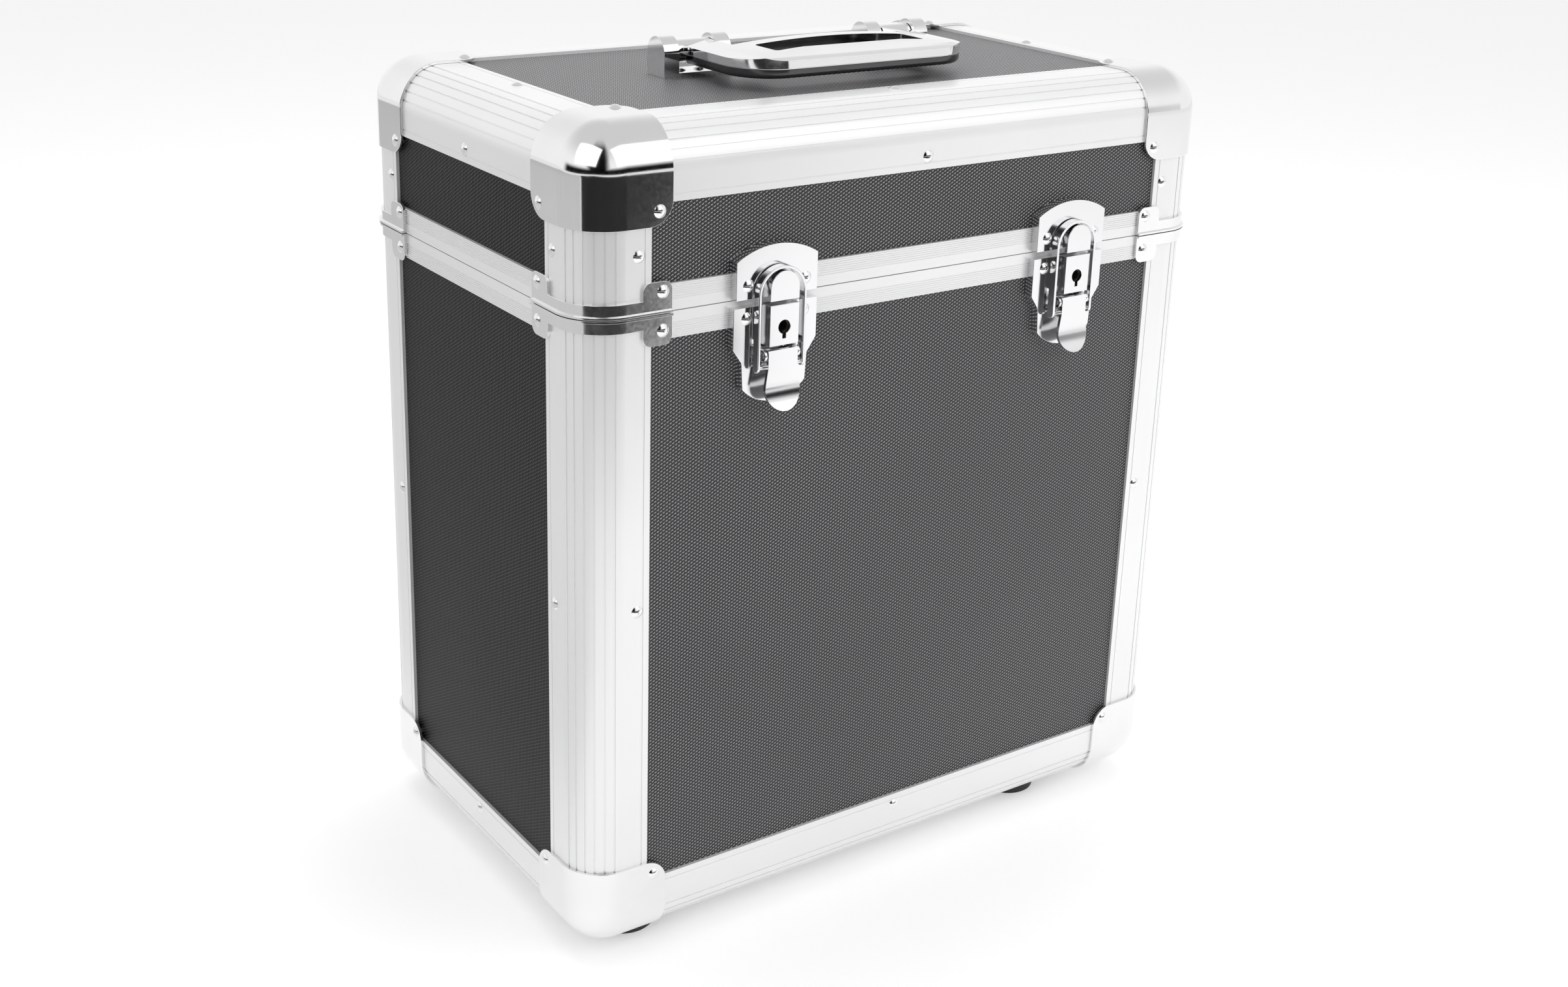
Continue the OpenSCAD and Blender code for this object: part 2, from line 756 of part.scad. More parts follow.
// The room that the bottom lobes of the ball corners take up
module cap_shadow() {
    for (right = [false, true]) for (back = [false, true])
        translate([right ? half_w : -half_w, back ? half_d : -half_d, 0])
        mirror([right ? 1 : 0, 0, 0]) mirror([0, back ? 1 : 0, 0])
        intersection() {
            lobe_outline(cap_reach, 2 * hole_gap);
            translate([-over, -over, -over]) cube([2 * cap_reach, 2 * cap_reach, cap_t + over]);
        }
}

module foot_screw_set() {
    color("gray") on_end(false) for (p = foot_places()) translate([p.x, p.y, 0]) {
        translate([0, 0, foot_h - foot_recess])
            cylinder(d = foot_screw_head_d, h = foot_screw_head_h);
        translate([0, 0, -flange_t - rivet_grip])
            cylinder(d = foot_screw_d, h = foot_screw_len);
    }
}

// ---------------------------------------------------------------- latches

// Outline of the strike plate, drawn in by an inset
module strike_outline(inset) {
    intersection() {
        translate([-strike_w / 2 + inset, split_z + strike_foot + inset])
            square([strike_w - 2 * inset, strike_h]);
        translate([0, split_z + strike_foot + strike_h - strike_arch_r])
            circle(r = strike_arch_r - inset, $fn = curve_fn);
    }
}

// The room in front of a rim's outer leg, which the plates stand on
module rim_shadow(top) {
    translate([-strike_w, top ? split_z - over : split_z - rim_h, -flange_t - over])
        cube([2 * strike_w, rim_h + over, flange_t + over]);
}

// The outline of the catch: flat below and round above
module catch_outline() {
    low = split_z + half_gap;
    translate([-catch_w / 2, low]) square([catch_w, catch_top - half_gap - catch_w / 2]);
    intersection() {
        translate([0, split_z + catch_top - catch_w / 2]) circle(d = catch_w);
        translate([-catch_w / 2, low]) square([catch_w, catch_top]);
    }
}

module strike(right) {
    color("lightgray") at_latch(right) difference() {
        union() {
            difference() {
                translate([0, 0, -flange_t])
                    linear_extrude(flange_t + strike_rise) strike_outline(0);
                translate([0, 0, -flange_t - over])
                    linear_extrude(flange_t + strike_rise - plate_wall + over)
                    strike_outline(plate_wall);
            }
            linear_extrude(catch_rise) catch_outline();
            rivet_seats(split_z + strike_rivet_v, strike_rise);
        }
        rim_shadow(true);
        rivet_holes(both(latch_rivet_x, split_z + strike_rivet_v));
    }
}

// Pressed seats that carry the rivet heads under the raised face
module rivet_seats(z, rise) {
    for (p = both(latch_rivet_x, z))
        translate([p.x, p.y, 0]) cylinder(d = rivet_head_d, h = rise);
}

// Outline of the base plate: wide above, narrow and round below
module base_outline() {
    end_r = (pow(base_low_w / 2, 2) + pow(base_end_v - base_low_v, 2))
        / (2 * (base_end_v - base_low_v));
    intersection() {
        polygon([
            [-base_w / 2, split_z - base_top_v], [base_w / 2, split_z - base_top_v],
            [base_w / 2, split_z - base_shoulder_v], [base_mid_w / 2, split_z - base_mid_v],
            [base_low_w / 2, split_z - base_low_v], [base_low_w / 2, split_z - base_end_v],
            [-base_low_w / 2, split_z - base_end_v], [-base_low_w / 2, split_z - base_low_v],
            [-base_mid_w / 2, split_z - base_mid_v],
            [-base_w / 2, split_z - base_shoulder_v]]);
        union() {
            translate([0, split_z - base_end_v + end_r]) circle(r = end_r, $fn = curve_fn);
            translate([-base_w, split_z - base_low_v]) square([2 * base_w, base_low_v]);
        }
    }
}

// The room under the base plate's face, from its top wall down to a height
module base_hollow(wide, down) {
    translate([-wide / 2 + plate_wall, split_z - down, -flange_t - over])
        cube([wide - 2 * plate_wall, down - base_top_v - plate_wall,
              flange_t + over + base_rise - plate_wall]);
}

module keyhole(r_more) {
    circle(r = keyhole_r + r_more);
    translate([-keyhole_slot_w / 2 - r_more, -keyhole_r - keyhole_slot - r_more])
        square([keyhole_slot_w + 2 * r_more, keyhole_r + keyhole_slot]);
}

// The ears that carry the lever's pivot pin
module ears() {
    for (side = [-1, 1]) translate([side * (lever_w / 2 + ear_gap + ear_t / 2), 0, 0])
        rotate([90, 0, 90]) linear_extrude(ear_t, center = true) {
            translate([pivot_z - cheek_r, 0]) square([2 * cheek_r, pivot_rise]);
            translate([pivot_z, pivot_rise]) circle(r = cheek_r);
        }
}

module latch_base(right) {
    color("lightgray") at_latch(right) difference() {
        union() {
            difference() {
                translate([0, 0, -flange_t])
                    linear_extrude(flange_t + base_rise) base_outline();
                base_hollow(base_w, base_shoulder_v);
                base_hollow(base_low_w, base_low_v);
            }
            rivet_seats(split_z - base_rivet_v, base_rise);
            translate([-lockbox_w / 2, split_z - lockbox_end_v, 0])
                cube([lockbox_w, lockbox_end_v - lockbox_top_v, lockbox_rise]);
            ears();
        }
        rim_shadow(false);
        rivet_holes(both(latch_rivet_x, split_z - base_rivet_v));
        translate([0, split_z - keyhole_v, -over])
            cylinder(r = core_r + turn_gap, h = lockbox_rise - lock_face_t + over);
        translate([0, split_z - keyhole_v, 0])
            linear_extrude(lockbox_rise + over) keyhole(0);
        pin_bore(pivot_z, pivot_rise, pivot_pin_r);
    }
}

// A bore along X for a pin of a given radius, at a height and a distance out
module pin_bore(z, out, r) {
    translate([-base_w, z, out]) rotate([0, 90, 0]) cylinder(r = r, h = 2 * base_w);
}

// The lock's core turns behind the keyhole
module lock_core(right) {
    low = split_gap;
    high = lockbox_rise - lock_face_t - turn_gap * 2;
    color([0.16, 0.15, 0.13]) at_latch(right) translate([0, split_z - keyhole_v, 0])
        difference() {
            translate([0, 0, low]) cylinder(r = core_r, h = high - low);
            translate([0, 0, high - keyway_depth]) linear_extrude(keyway_depth + over)
                keyhole(-keyway_inset);
        }
}

// ---------------------------------------------------------------- levers

// The front outline of a lever, from its upper end down to its rounded tip
module lever_outline() {
    wide_z = pivot_z - lever_wide_v;
    tip_fall = lever_len - lever_wide_v;
    tip_r = (pow(lever_wide_w / 2, 2) + pow(tip_fall, 2)) / (2 * tip_fall);
    polygon([
        [-lever_w / 2, pivot_z + lever_head], [lever_w / 2, pivot_z + lever_head],
        [lever_w / 2, bail_z], [lever_wide_w / 2, wide_z],
        [-lever_wide_w / 2, wide_z], [-lever_w / 2, bail_z]]);
    intersection() {
        translate([0, wide_z - tip_fall + tip_r]) circle(r = tip_r);
        translate([-lever_wide_w / 2, wide_z - tip_fall]) square([lever_wide_w, tip_fall]);
    }
}

// Section of the lever's plate: x runs up, y out; the tip curls out along an arc
module lever_section() {
    curl_z = pivot_z - lever_curl_v;
    curl_len = lever_len - lever_curl_v;
    curl_r = (pow(curl_len, 2) + pow(lever_curl, 2)) / (2 * lever_curl);
    translate([curl_z, lever_rise - lever_t])
        square([lever_curl_v + lever_head, lever_t]);
    intersection() {
        translate([curl_z, lever_rise + curl_r]) difference() {
            circle(r = curl_r + lever_t, $fn = curve_fn);
            circle(r = curl_r, $fn = curve_fn);
        }
        translate([curl_z - curl_len, lever_rise - lever_t])
            square([curl_len, lever_t + lever_curl]);
    }
}

// Section of a cheek, which holds the pivot pin and the bail's pin end
module cheek_section() {
    translate([pivot_z, pivot_rise]) circle(r = cheek_r);
    translate([bail_z, bail_rise]) circle(r = bail_eye_r);
    translate([bail_z, bail_rise - bail_eye_r])
        square([bail_drop, lever_rise - lever_t - bail_rise + bail_eye_r]);
    translate([bail_z - bail_eye_r, bail_rise])
        square([bail_drop + bail_eye_r + lever_head, lever_rise - lever_t / 2 - bail_rise]);
}

module lever(right) {
    cheek_out = lever_w / 2;
    color("gainsboro") at_latch(right) difference() {
        union() {
            intersection() {
                linear_extrude(lever_rise + lever_curl + over) lever_outline();
                across(-lever_wide_w, lever_wide_w) lever_section();
            }
            across(-cheek_out, -cheek_out + cheek_t) cheek_section();
            across(cheek_out - cheek_t, cheek_out) cheek_section();
        }
        pin_bore(pivot_z, pivot_rise, pivot_pin_r + turn_gap);
        pin_bore(bail_z, bail_rise, bail_pin_r + turn_gap);
    }
}

module lever_pin_pair() {
    half = lever_w / 2 + ear_gap + ear_t + pin_proud;
    color("silver") for (right = [false, true]) at_latch(right)
        translate([-half, pivot_z, pivot_rise]) rotate([0, 90, 0])
        cylinder(r = pivot_pin_r, h = 2 * half);
}

// ---------------------------------------------------------------- bails

module bail_outline(inset) {
    arc_r = bail_w / 2 - inset;
    translate([0, bail_top_z - bail_w / 2]) circle(r = arc_r);
    translate([-arc_r, bail_z]) square([2 * arc_r, bail_top_z - bail_w / 2 - bail_z]);
}

module bail(right) {
    inner = bail_w / 2 - bail_t;
    color("gainsboro") at_latch(right) {
        translate([0, 0, bail_rise - bail_depth / 2]) linear_extrude(bail_depth)
            difference() {
                bail_outline(0);
                bail_outline(bail_t);
                translate([-inner, bail_z - over]) square([2 * inner, 2 * over]);
            }
        for (side = [0, 1]) mirror([side, 0, 0]) {
            translate([inner, bail_z, bail_rise]) rotate([0, 90, 0])
                cylinder(d = bail_depth, h = bail_t);
            translate([lever_w / 2 - cheek_t, bail_z, bail_rise]) rotate([0, 90, 0])
                cylinder(r = bail_pin_r, h = inner + bail_t - lever_w / 2 + cheek_t);
        }
    }
}

// ---------------------------------------------------------------- hinges

// At a hinge on the back: x across, y up, z out, with y = 0 at the split
module at_hinge(x) {
    on_side(BACK) translate([x, split_z, 0]) children();
}

module hinge_bar(from, to, r) {
    translate([from, 0, hinge_out]) rotate([0, 90, 0]) cylinder(r = r, h = to - from);
}

// A knuckle with the web that joins it to its leaf
module knuckle(from, to, up) {
    hinge_bar(from, to, knuckle_r);
    mirror([0, up ? 0 : 1, 0]) translate([from, half_gap, 0])
        cube([to - from, knuckle_r + hinge_t, hinge_out]);
}

// The leaf's plate, which lies on the rim and the board beside it
module leaf_plate() {
    difference() {
        translate([-hinge_w / 2, half_gap, -flange_t])
            cube([hinge_w, hinge_leaf_h - half_gap, flange_t + hinge_t]);
        translate([-hinge_w, -over, -flange_t - over])
            cube([2 * hinge_w, rim_h + over, flange_t + over]);
    }
}

// The nose on the lid's knuckle that meets the body's leaf when the lid is open
module stop_nose() {
    translate([0, 0, hinge_out]) rotate([-open_angle, 0, 0])
        translate([stop_inset - knuckle_w / 2, -stop_len, -stop_far])
        cube([knuckle_w - 2 * stop_inset, stop_len, stop_t]);
}

module hinge_leaf(top) {
    outer_from = knuckle_w / 2 + knuckle_gap;
    clear_r = knuckle_r + knuckle_gap;
    color("lightgray") for (x = [-hinge_x, hinge_x]) at_hinge(x) difference() {
        union() {
            difference() {
                mirror([0, top ? 0 : 1, 0]) leaf_plate();
                hinge_bar(-hinge_w, hinge_w, clear_r);
            }
            if (top) {
                knuckle(-knuckle_w / 2, knuckle_w / 2, true);
                stop_nose();
            }
            else for (side = [0, 1]) mirror([side, 0, 0])
                knuckle(outer_from, hinge_w / 2, false);
        }
        hinge_bar(-hinge_w, hinge_w, hinge_pin_r + (top ? turn_gap : 0));
        rivet_holes(both(hinge_rivet_x, (top ? 1 : -1) * hinge_rivet_v));
    }
}

module hinge_pin_pair() {
    color("silver") for (x = [-hinge_x, hinge_x]) at_hinge(x)
        hinge_bar(-hinge_w / 2, hinge_w / 2, hinge_pin_r);
}

// ---------------------------------------------------------------- handle

// Rivets of the handle's brackets, seen on the top face
function bracket_places() = [for (side = [-1, 1]) for (x = [-1, 1])
    [side * (hub_from + hub_w / 2 + x * bracket_rivet_x), handle_pivot_y]];

// Along X through the handle's pivot, on both halves of the handle
module on_pivot(from, to, r) {
    for (side = [0, 1]) mirror([side, 0, 0])
        translate([from, handle_pivot_y, handle_pivot_z]) rotate([0, 90, 0])
        cylinder(r = r, h = to - from);
}

module lug_section() {
    translate([handle_pivot_y - lug_r, top_board_z]) square([2 * lug_r, handle_pivot_up]);
    translate([handle_pivot_y, handle_pivot_z]) circle(r = lug_r);
}

module brackets() {
    color("lightgray") difference() {
        for (side = [0, 1]) mirror([side, 0, 0]) {
            across(lug_from, lug_from + lug_w) lug_section();
            across(bracket_to - lug_w, bracket_to) lug_section();
            translate([lug_from, handle_pivot_y - lug_r, top_board_z])
                cube([bracket_to - lug_from, 2 * lug_r, bracket_t]);
        }
        on_pivot(lug_from + lug_skin, bracket_to - lug_skin, handle_pin_r);
        on_end(true) rivet_holes(bracket_places());
    }
}

module handle_pin_pair() {
    color("silver") on_pivot(lug_from + lug_skin, bracket_to - lug_skin, handle_pin_r);
}

// Plan of the grip folded to the front, drawn in by an inset
module grip_plan(inset) {
    half = grip_half_w - inset;
    corner = grip_corner_r - inset;
    corner_y = grip_front + grip_corner_r;
    opening_y = grip_front + grip_bar;
    difference() {
        union() {
            translate([-half, corner_y]) square([2 * half, handle_pivot_y - corner_y]);
            translate([-half + corner, grip_front + inset])
                square([2 * (half - corner), grip_corner_r]);
            for (x = [-1, 1]) translate([x * (half - corner), corner_y]) circle(r = corner);
        }
        translate([0, opening_y + finger_d / 2])
            rounded_slot(finger_w + 2 * inset, finger_d + 2 * inset, finger_r + inset);
        translate([-hub_from - inset, opening_y + finger_d + rear_bar - inset])
            square([2 * (hub_from + inset), grip_reach]);
    }
}

module rounded_slot(w, d, r) {
    square([w - 2 * r, d], center = true);
    square([w, d - 2 * r], center = true);
    for (x = [-1, 1]) for (y = [-1, 1])
        translate([x * (w / 2 - r), y * (d / 2 - r)]) circle(r = r);
}

// The crown is highest at the rear and falls to the front and the sides
module crown() {
    crown_z = handle_pivot_z + grip_crown;
    side_r = (pow(grip_half_w, 2) + pow(crown_fall, 2)) / (2 * crown_fall);
    front_r = (pow(crown_run, 2) + pow(crown_fall, 2)) / (2 * crown_fall);
    intersection() {
        translate([0, -half_d, crown_z - side_r]) rotate([-90, 0, 0])
            cylinder(r = side_r, h = case_d, $fn = crown_fn);
        union() {
            translate([-half_w, grip_front + crown_run, crown_z - front_r])
                rotate([0, 90, 0]) cylinder(r = front_r, h = case_w, $fn = crown_fn);
            translate([-half_w, grip_front + crown_run, crown_z - front_r])
                cube([case_w, grip_reach, front_r]);
        }
    }
}

module grip_top() {
    low = handle_pivot_z - parting_down;
    color("lightgray") difference() {
        union() {
            intersection() {
                union() {
                    translate([0, 0, low]) linear_extrude(grip_reach)
                        grip_plan(parting_groove);
                    translate([0, 0, low + parting_groove]) linear_extrude(grip_reach)
                        grip_plan(0);
                }
                crown();
            }
            on_pivot(hub_from, hub_from + hub_w, hub_r);
        }
        on_pivot(hub_from - over, hub_from + hub_w + over, handle_pin_r + turn_gap);
    }
}

// The lower half stops short of the hubs
module grip_bottom() {
    low = handle_pivot_z - grip_under;
    color("darkgray") difference() {
        translate([0, 0, low]) linear_extrude(grip_under - parting_down) grip_plan(0);
        translate([-half_w, handle_pivot_y - hub_r - hole_gap, low - over])
            cube([case_w, grip_reach, grip_under + over]);
    }
}

// ---------------------------------------------------------------- the parts

in_case() side_board(FRONT, false);  // body_front_panel
in_case() side_board(BACK, false);  // body_back_panel
in_case() side_board(LEFT, false);  // body_left_panel
in_case() side_board(RIGHT, false);  // body_right_panel
in_case() end_board(false);  // body_bottom_panel
in_case() lining(false);  // body_lining
in_case() post(false, false, false);  // body_post_front_left
in_case() post(true, false, false);  // body_post_front_right
in_case() post(false, true, false);  // body_post_back_left
in_case() post(true, true, false);  // body_post_back_right
in_case() edge(FRONT, false);  // body_edge_front
in_case() edge(BACK, false);  // body_edge_back
in_case() edge(LEFT, false);  // body_edge_left
in_case() edge(RIGHT, false);  // body_edge_right
in_case() rim(false);  // body_rim
in_case() ball_corner(false, false, false);  // body_cap_front_left
in_case() ball_corner(true, false, false);  // body_cap_front_right
in_case() ball_corner(false, true, false);  // body_cap_back_left
in_case() ball_corner(true, true, false);  // body_cap_back_right
in_case() braces(false);  // body_corner_braces
in_case() color("silver") half_rivets(false);  // body_rivets
in_case() feet();  // rubber_feet
in_case() foot_screw_set();  // foot_screws
in_case() latch_base(false);  // latch_base_left
in_case() latch_base(true);  // latch_base_right
in_case() lever_pin_pair();  // lever_pins
in_case() hinge_leaf(false);  // body_hinge_leaves
in_case() hinge_pin_pair();  // hinge_pins
in_case() end_board(true);  // lid_top_panel
in_case() side_board(FRONT, true);  // lid_front_panel
in_case() side_board(BACK, true);  // lid_back_panel
in_case() side_board(LEFT, true);  // lid_left_panel
in_case() side_board(RIGHT, true);  // lid_right_panel
in_case() lining(true);  // lid_lining
in_case() lid_posts();  // lid_corner_posts
in_case() edge(FRONT, true);  // lid_edge_front
in_case() edge(BACK, true);  // lid_edge_back
in_case() edge(LEFT, true);  // lid_edge_left
in_case() edge(RIGHT, true);  // lid_edge_right
in_case() rim(true);  // lid_rim
in_case() ball_corner(false, false, true);  // lid_cap_front_left
in_case() ball_corner(true, false, true);  // lid_cap_front_right
in_case() ball_corner(false, true, true);  // lid_cap_back_left
in_case() ball_corner(true, true, true);  // lid_cap_back_right
in_case() braces(true);  // lid_corner_braces
in_case() color("silver") lid_rivet_set();  // lid_rivets
in_case() strike(false);  // latch_strike_left
in_case() strike(true);  // latch_strike_right
in_case() hinge_leaf(true);  // lid_hinge_leaves
in_case() brackets();  // handle_brackets
in_case() handle_pin_pair();  // handle_pins
in_case() grip_top();  // handle_top_shell
in_case() grip_bottom();  // handle_bottom_shell
in_case() lever(false);  // latch_lever_left
in_case() lever(true);  // latch_lever_right
in_case() bail(false);  // latch_bail_left
in_case() bail(true);  // latch_bail_right
in_case() lock_core(false);  // latch_lock_left
in_case() lock_core(true);  // latch_lock_right
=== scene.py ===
"""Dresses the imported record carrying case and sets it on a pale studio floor."""

import json
import math

import bpy
from mathutils import Matrix, Vector

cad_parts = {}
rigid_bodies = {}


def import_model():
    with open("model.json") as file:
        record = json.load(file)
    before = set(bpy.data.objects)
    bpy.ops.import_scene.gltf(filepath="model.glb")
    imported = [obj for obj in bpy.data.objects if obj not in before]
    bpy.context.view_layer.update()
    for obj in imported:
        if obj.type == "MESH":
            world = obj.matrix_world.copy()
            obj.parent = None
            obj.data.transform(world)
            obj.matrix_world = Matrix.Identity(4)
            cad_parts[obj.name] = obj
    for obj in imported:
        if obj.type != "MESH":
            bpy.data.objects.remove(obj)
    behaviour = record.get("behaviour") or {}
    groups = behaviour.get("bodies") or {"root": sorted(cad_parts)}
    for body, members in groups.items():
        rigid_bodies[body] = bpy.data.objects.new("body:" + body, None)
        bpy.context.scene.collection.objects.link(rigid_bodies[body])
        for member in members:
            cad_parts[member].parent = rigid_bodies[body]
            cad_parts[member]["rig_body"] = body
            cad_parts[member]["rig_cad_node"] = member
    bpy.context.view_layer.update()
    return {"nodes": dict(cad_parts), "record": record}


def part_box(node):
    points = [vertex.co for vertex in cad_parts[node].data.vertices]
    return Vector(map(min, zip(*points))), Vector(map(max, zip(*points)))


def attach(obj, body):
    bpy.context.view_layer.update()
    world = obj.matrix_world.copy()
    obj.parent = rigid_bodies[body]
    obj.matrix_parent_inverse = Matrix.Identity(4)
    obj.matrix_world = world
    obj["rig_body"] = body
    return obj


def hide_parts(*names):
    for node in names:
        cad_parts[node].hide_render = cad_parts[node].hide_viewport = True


bl_info = {
    "name": "Record carrying case",
    "version": (1, 0, 0),
    "blender": (4, 5, 0),
    "location": "View3D > Sidebar > Record case",
    "description": "Builds the looks of a record carrying case round its packed frame",
    "category": "Object",
}

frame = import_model()
NODES = frame["nodes"]

MM = 0.001
WHITE = (1, 1, 1)

# Corners of a mesh that lie nearer than this are one
SAME_CORNER = 1e-6
# Angles between two faces, in degrees: below the first they are merged into one, above the
# next their edge is rounded, on a fitting and on the grip, and above the last it looks sharp
FLAT_ANGLE = 0.5
FITTING_ANGLE = 32
GRIP_ANGLE = 25
SHARP_ANGLE = 35
# How much the larger faces lead the shading, from 1 to 100
LARGE_FACES_LEAD = 80

# The grip's finger opening with its walls, from above: half its length, and how far behind
# the grip's front it starts and ends. Its edges stay sharp
OPENING_HALF = 0.0445
OPENING_START = 0.0115
OPENING_END = 0.0335
# How far over its seam the grip's upper shell stays sharp
SEAM_HEIGHT = 2 * MM

# How far up its bump, in radians of the row wave, the laminate's painted highlight streak lies
CREST_PHASE = -0.9
# The height of the joined waves at which a dot starts to rise and where it is full, and
# those between which a painted highlight streak brightens, across its row and along it
DOT_RISE = (-1.3, 2.4)
STREAK_ACROSS = (0.2, 0.95)
STREAK_ALONG = (-1.7, 0.3)

# The photograph's camera: its frame in pixels, where it stood and how it was turned
PHOTO_SIZE = (2408, 1515)
FOCAL_PX = 2969.93
CENTRE_PX = (1204.29, 581.22)
CAMERA_AT = (-0.547149, -0.769592, 0.545817)
CAMERA_FORWARD = (0.54854776, 0.77373267, -0.31691183)
CAMERA_UP = (0.15791638, 0.27633256, 0.94799933)
SENSOR_MM = 36.0

# The paper floor's width
FLOOR_WIDTH = 12.0
# Floors that only show as reflections, where the bright metal mirrors the studio beyond
# the paper: the corners, darkest and lightest colour of each, and how high they lie
MIRRORED_FLOORS = {
    "dark_floor": (((0.40, -0.86), (0.50, -1.10), (0.57, -1.22), (0.68, -1.27),
                    (1.0, -1.75), (1.3, -2.8), (-3.0, -2.8), (-3.0, -0.8), (-1.25, -0.42),
                    (-0.86, -0.42), (-0.62, -0.70)), 0.0, 0.05),
    "grey_floor": (((-0.30, 2.5), (-0.24, 0.10), (-0.45, -0.38), (-1.25, -0.38),
                    (-3.0, -0.75), (-3.0, 2.5)), 0.62, 0.85),
}
MIRRORED_FLOOR_HEIGHT = 2 * MM

# The dark room behind the camera as bright metal mirrors it: the level direction to its
# middle, and then the cosines between which its sides fade and the sines of the heights
# between which its top fades, each from light to dark
DARK_ROOM_AT = (-0.60, -0.80, 0.0)
DARK_ROOM = ((0.86, 0.97), (1.0, 0.78))
# The same for the low wall on either side of it
DARK_WALL = ((0.05, 0.30), (0.22, 0.08))
# The sines of the heights between which the mirrored ceiling gets darker, and by how much
CEILING_RISE = (0.3, 0.85)
CEILING_SHADE = 0.3
# Keeps a direction straight up or down from being divided by nothing
LEAST_LEVEL = 0.001

# The soft boxes: where each stands, its width and height, its share of the power, and how
# bright its front looks in the metal. All face the same point
SOFT_BOXES = (
    ((-1.45, -0.60, 1.45), (1.75, 1.45), 0.35, 1.35),
    ((0.55, -1.40, 1.30), (1.30, 1.30), 1.5, 1.35),
    ((0.10, 0.30, 1.80), (1.60, 1.20), 1.9, 0.0),
)
SOFT_BOXES_FACE = (0, 0, 0.25)


# ---------------------------------------------------------------- settings

class CaseFinishSettings(bpy.types.PropertyGroup):
    """Colours and surface sizes of the case's finishes"""
    laminate: bpy.props.FloatVectorProperty(
        name="Laminate", description="Colour of the embossed boards",
        subtype="COLOR", size=3, min=0, max=1, default=(0.030, 0.030, 0.031))
    dot_pitch: bpy.props.FloatProperty(
        name="Dot rows", description="Distance between the rows of raised dots",
        subtype="DISTANCE", unit="LENGTH", default=1.47 * MM)
    dot_height: bpy.props.FloatProperty(
        name="Dot height", description="Height of the raised dots",
        subtype="DISTANCE", unit="LENGTH", default=0.16 * MM)
    aluminium: bpy.props.FloatVectorProperty(
        name="Aluminium", description="Colour of the edge profiles and rims",
        subtype="COLOR", size=3, min=0, max=1, default=(0.92, 0.922, 0.925))
    chrome: bpy.props.FloatVectorProperty(
        name="Chrome", description="Colour of the plated fittings",
        subtype="COLOR", size=3, min=0, max=1, default=(0.86, 0.86, 0.865))
    rubber: bpy.props.FloatVectorProperty(
        name="Rubber", description="Colour of the feet",
        subtype="COLOR", size=3, min=0, max=1, default=(0.022, 0.022, 0.022))
    felt: bpy.props.FloatVectorProperty(
        name="Felt", description="Colour of the lining",
        subtype="COLOR", size=3, min=0, max=1, default=(0.035, 0.035, 0.038))


class CaseEdgeSettings(bpy.types.PropertyGroup):
    """How far the edges of the fittings are rounded"""
    corner: bpy.props.FloatProperty(
        name="Ball corners", description="Rounding of the ball corners' rims",
        subtype="DISTANCE", unit="LENGTH", default=0.45 * MM)
    brace: bpy.props.FloatProperty(
        name="Braces", description="Rounding of the corner braces' edges",
        subtype="DISTANCE", unit="LENGTH", default=0.4 * MM)
    plate: bpy.props.FloatProperty(
        name="Plates", description="Rounding of the latches' plates and the handle's brackets",
        subtype="DISTANCE", unit="LENGTH", default=0.9 * MM)
    lever: bpy.props.FloatProperty(
        name="Levers", description="Rounding of the levers, the bails and the hinges",
        subtype="DISTANCE", unit="LENGTH", default=0.35 * MM)
    grip: bpy.props.FloatProperty(
        name="Grip", description="Rounding of the handle's grip",
        subtype="DISTANCE", unit="LENGTH", default=1.6 * MM)
    grip_under: bpy.props.FloatProperty(
        name="Grip underside", description="Rounding of the grip's lower edges",
        subtype="DISTANCE", unit="LENGTH", default=3.2 * MM)
    lining: bpy.props.FloatProperty(
        name="Lining", description="Rounding of the felt's edges",
        subtype="DISTANCE", unit="LENGTH", default=0.5 * MM)
    foot: bpy.props.FloatProperty(
        name="Feet", description="Rounding of the feet",
        subtype="DISTANCE", unit="LENGTH", default=1.0 * MM)


class CaseStageSettings(bpy.types.PropertyGroup):
    """The floor and the light"""
    floor: bpy.props.FloatVectorProperty(
        name="Floor", description="Colour of the floor",
        subtype="COLOR", size=3, min=0, max=1, default=(0.93, 0.93, 0.93))
    sky: bpy.props.FloatProperty(
        name="Surround", description="Strength of the light all round",
        default=0.66, min=0, max=2)
    glow: bpy.props.FloatProperty(
        name="Floor lift", description="How far the floor is lifted to white where it is seen",
        default=0.27, min=0, max=1)
    key: bpy.props.FloatProperty(
        name="Lamps", description="Power of the soft boxes, of which each takes its share",
        subtype="POWER", unit="POWER", default=5.0, min=0, max=100)


def settings(group):
    """The scene's settings of one group."""
    return getattr(bpy.context.scene, "case_" + group)


# ---------------------------------------------------------------- modelling helpers

def deselect():
    """Nothing is selected and nothing is being edited."""
    if bpy.context.object and bpy.context.object.mode != "OBJECT":
        bpy.ops.object.mode_set(mode="OBJECT")
    bpy.ops.object.select_all(action="DESELECT")


def only(piece):
    """The piece is active and nothing else is selected."""
    deselect()
    piece.select_set(True)
    bpy.context.view_layer.objects.active = piece


def copy_of(node, name):
    """A copy of a CAD node with its loose triangles merged into faces."""
    only(NODES[node])
    bpy.ops.object.duplicate()
    piece = bpy.context.object
    bpy.ops.object.parent_clear(type="CLEAR_KEEP_TRANSFORM")
    # The copy is no longer the frame's own node
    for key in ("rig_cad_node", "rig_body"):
        if key in piece:
            del piece[key]
    piece.name = name
    piece.data.name = name
    piece.data.materials.clear()
    bpy.ops.object.mode_set(mode="EDIT")
    bpy.ops.mesh.select_all(action="SELECT")
    bpy.ops.mesh.customdata_custom_splitnormals_clear()
    bpy.ops.mesh.remove_doubles(threshold=SAME_CORNER)
    bpy.ops.mesh.dissolve_limited(angle_limit=math.radians(FLAT_ANGLE))
    bpy.ops.object.mode_set(mode="OBJECT")
    return piece


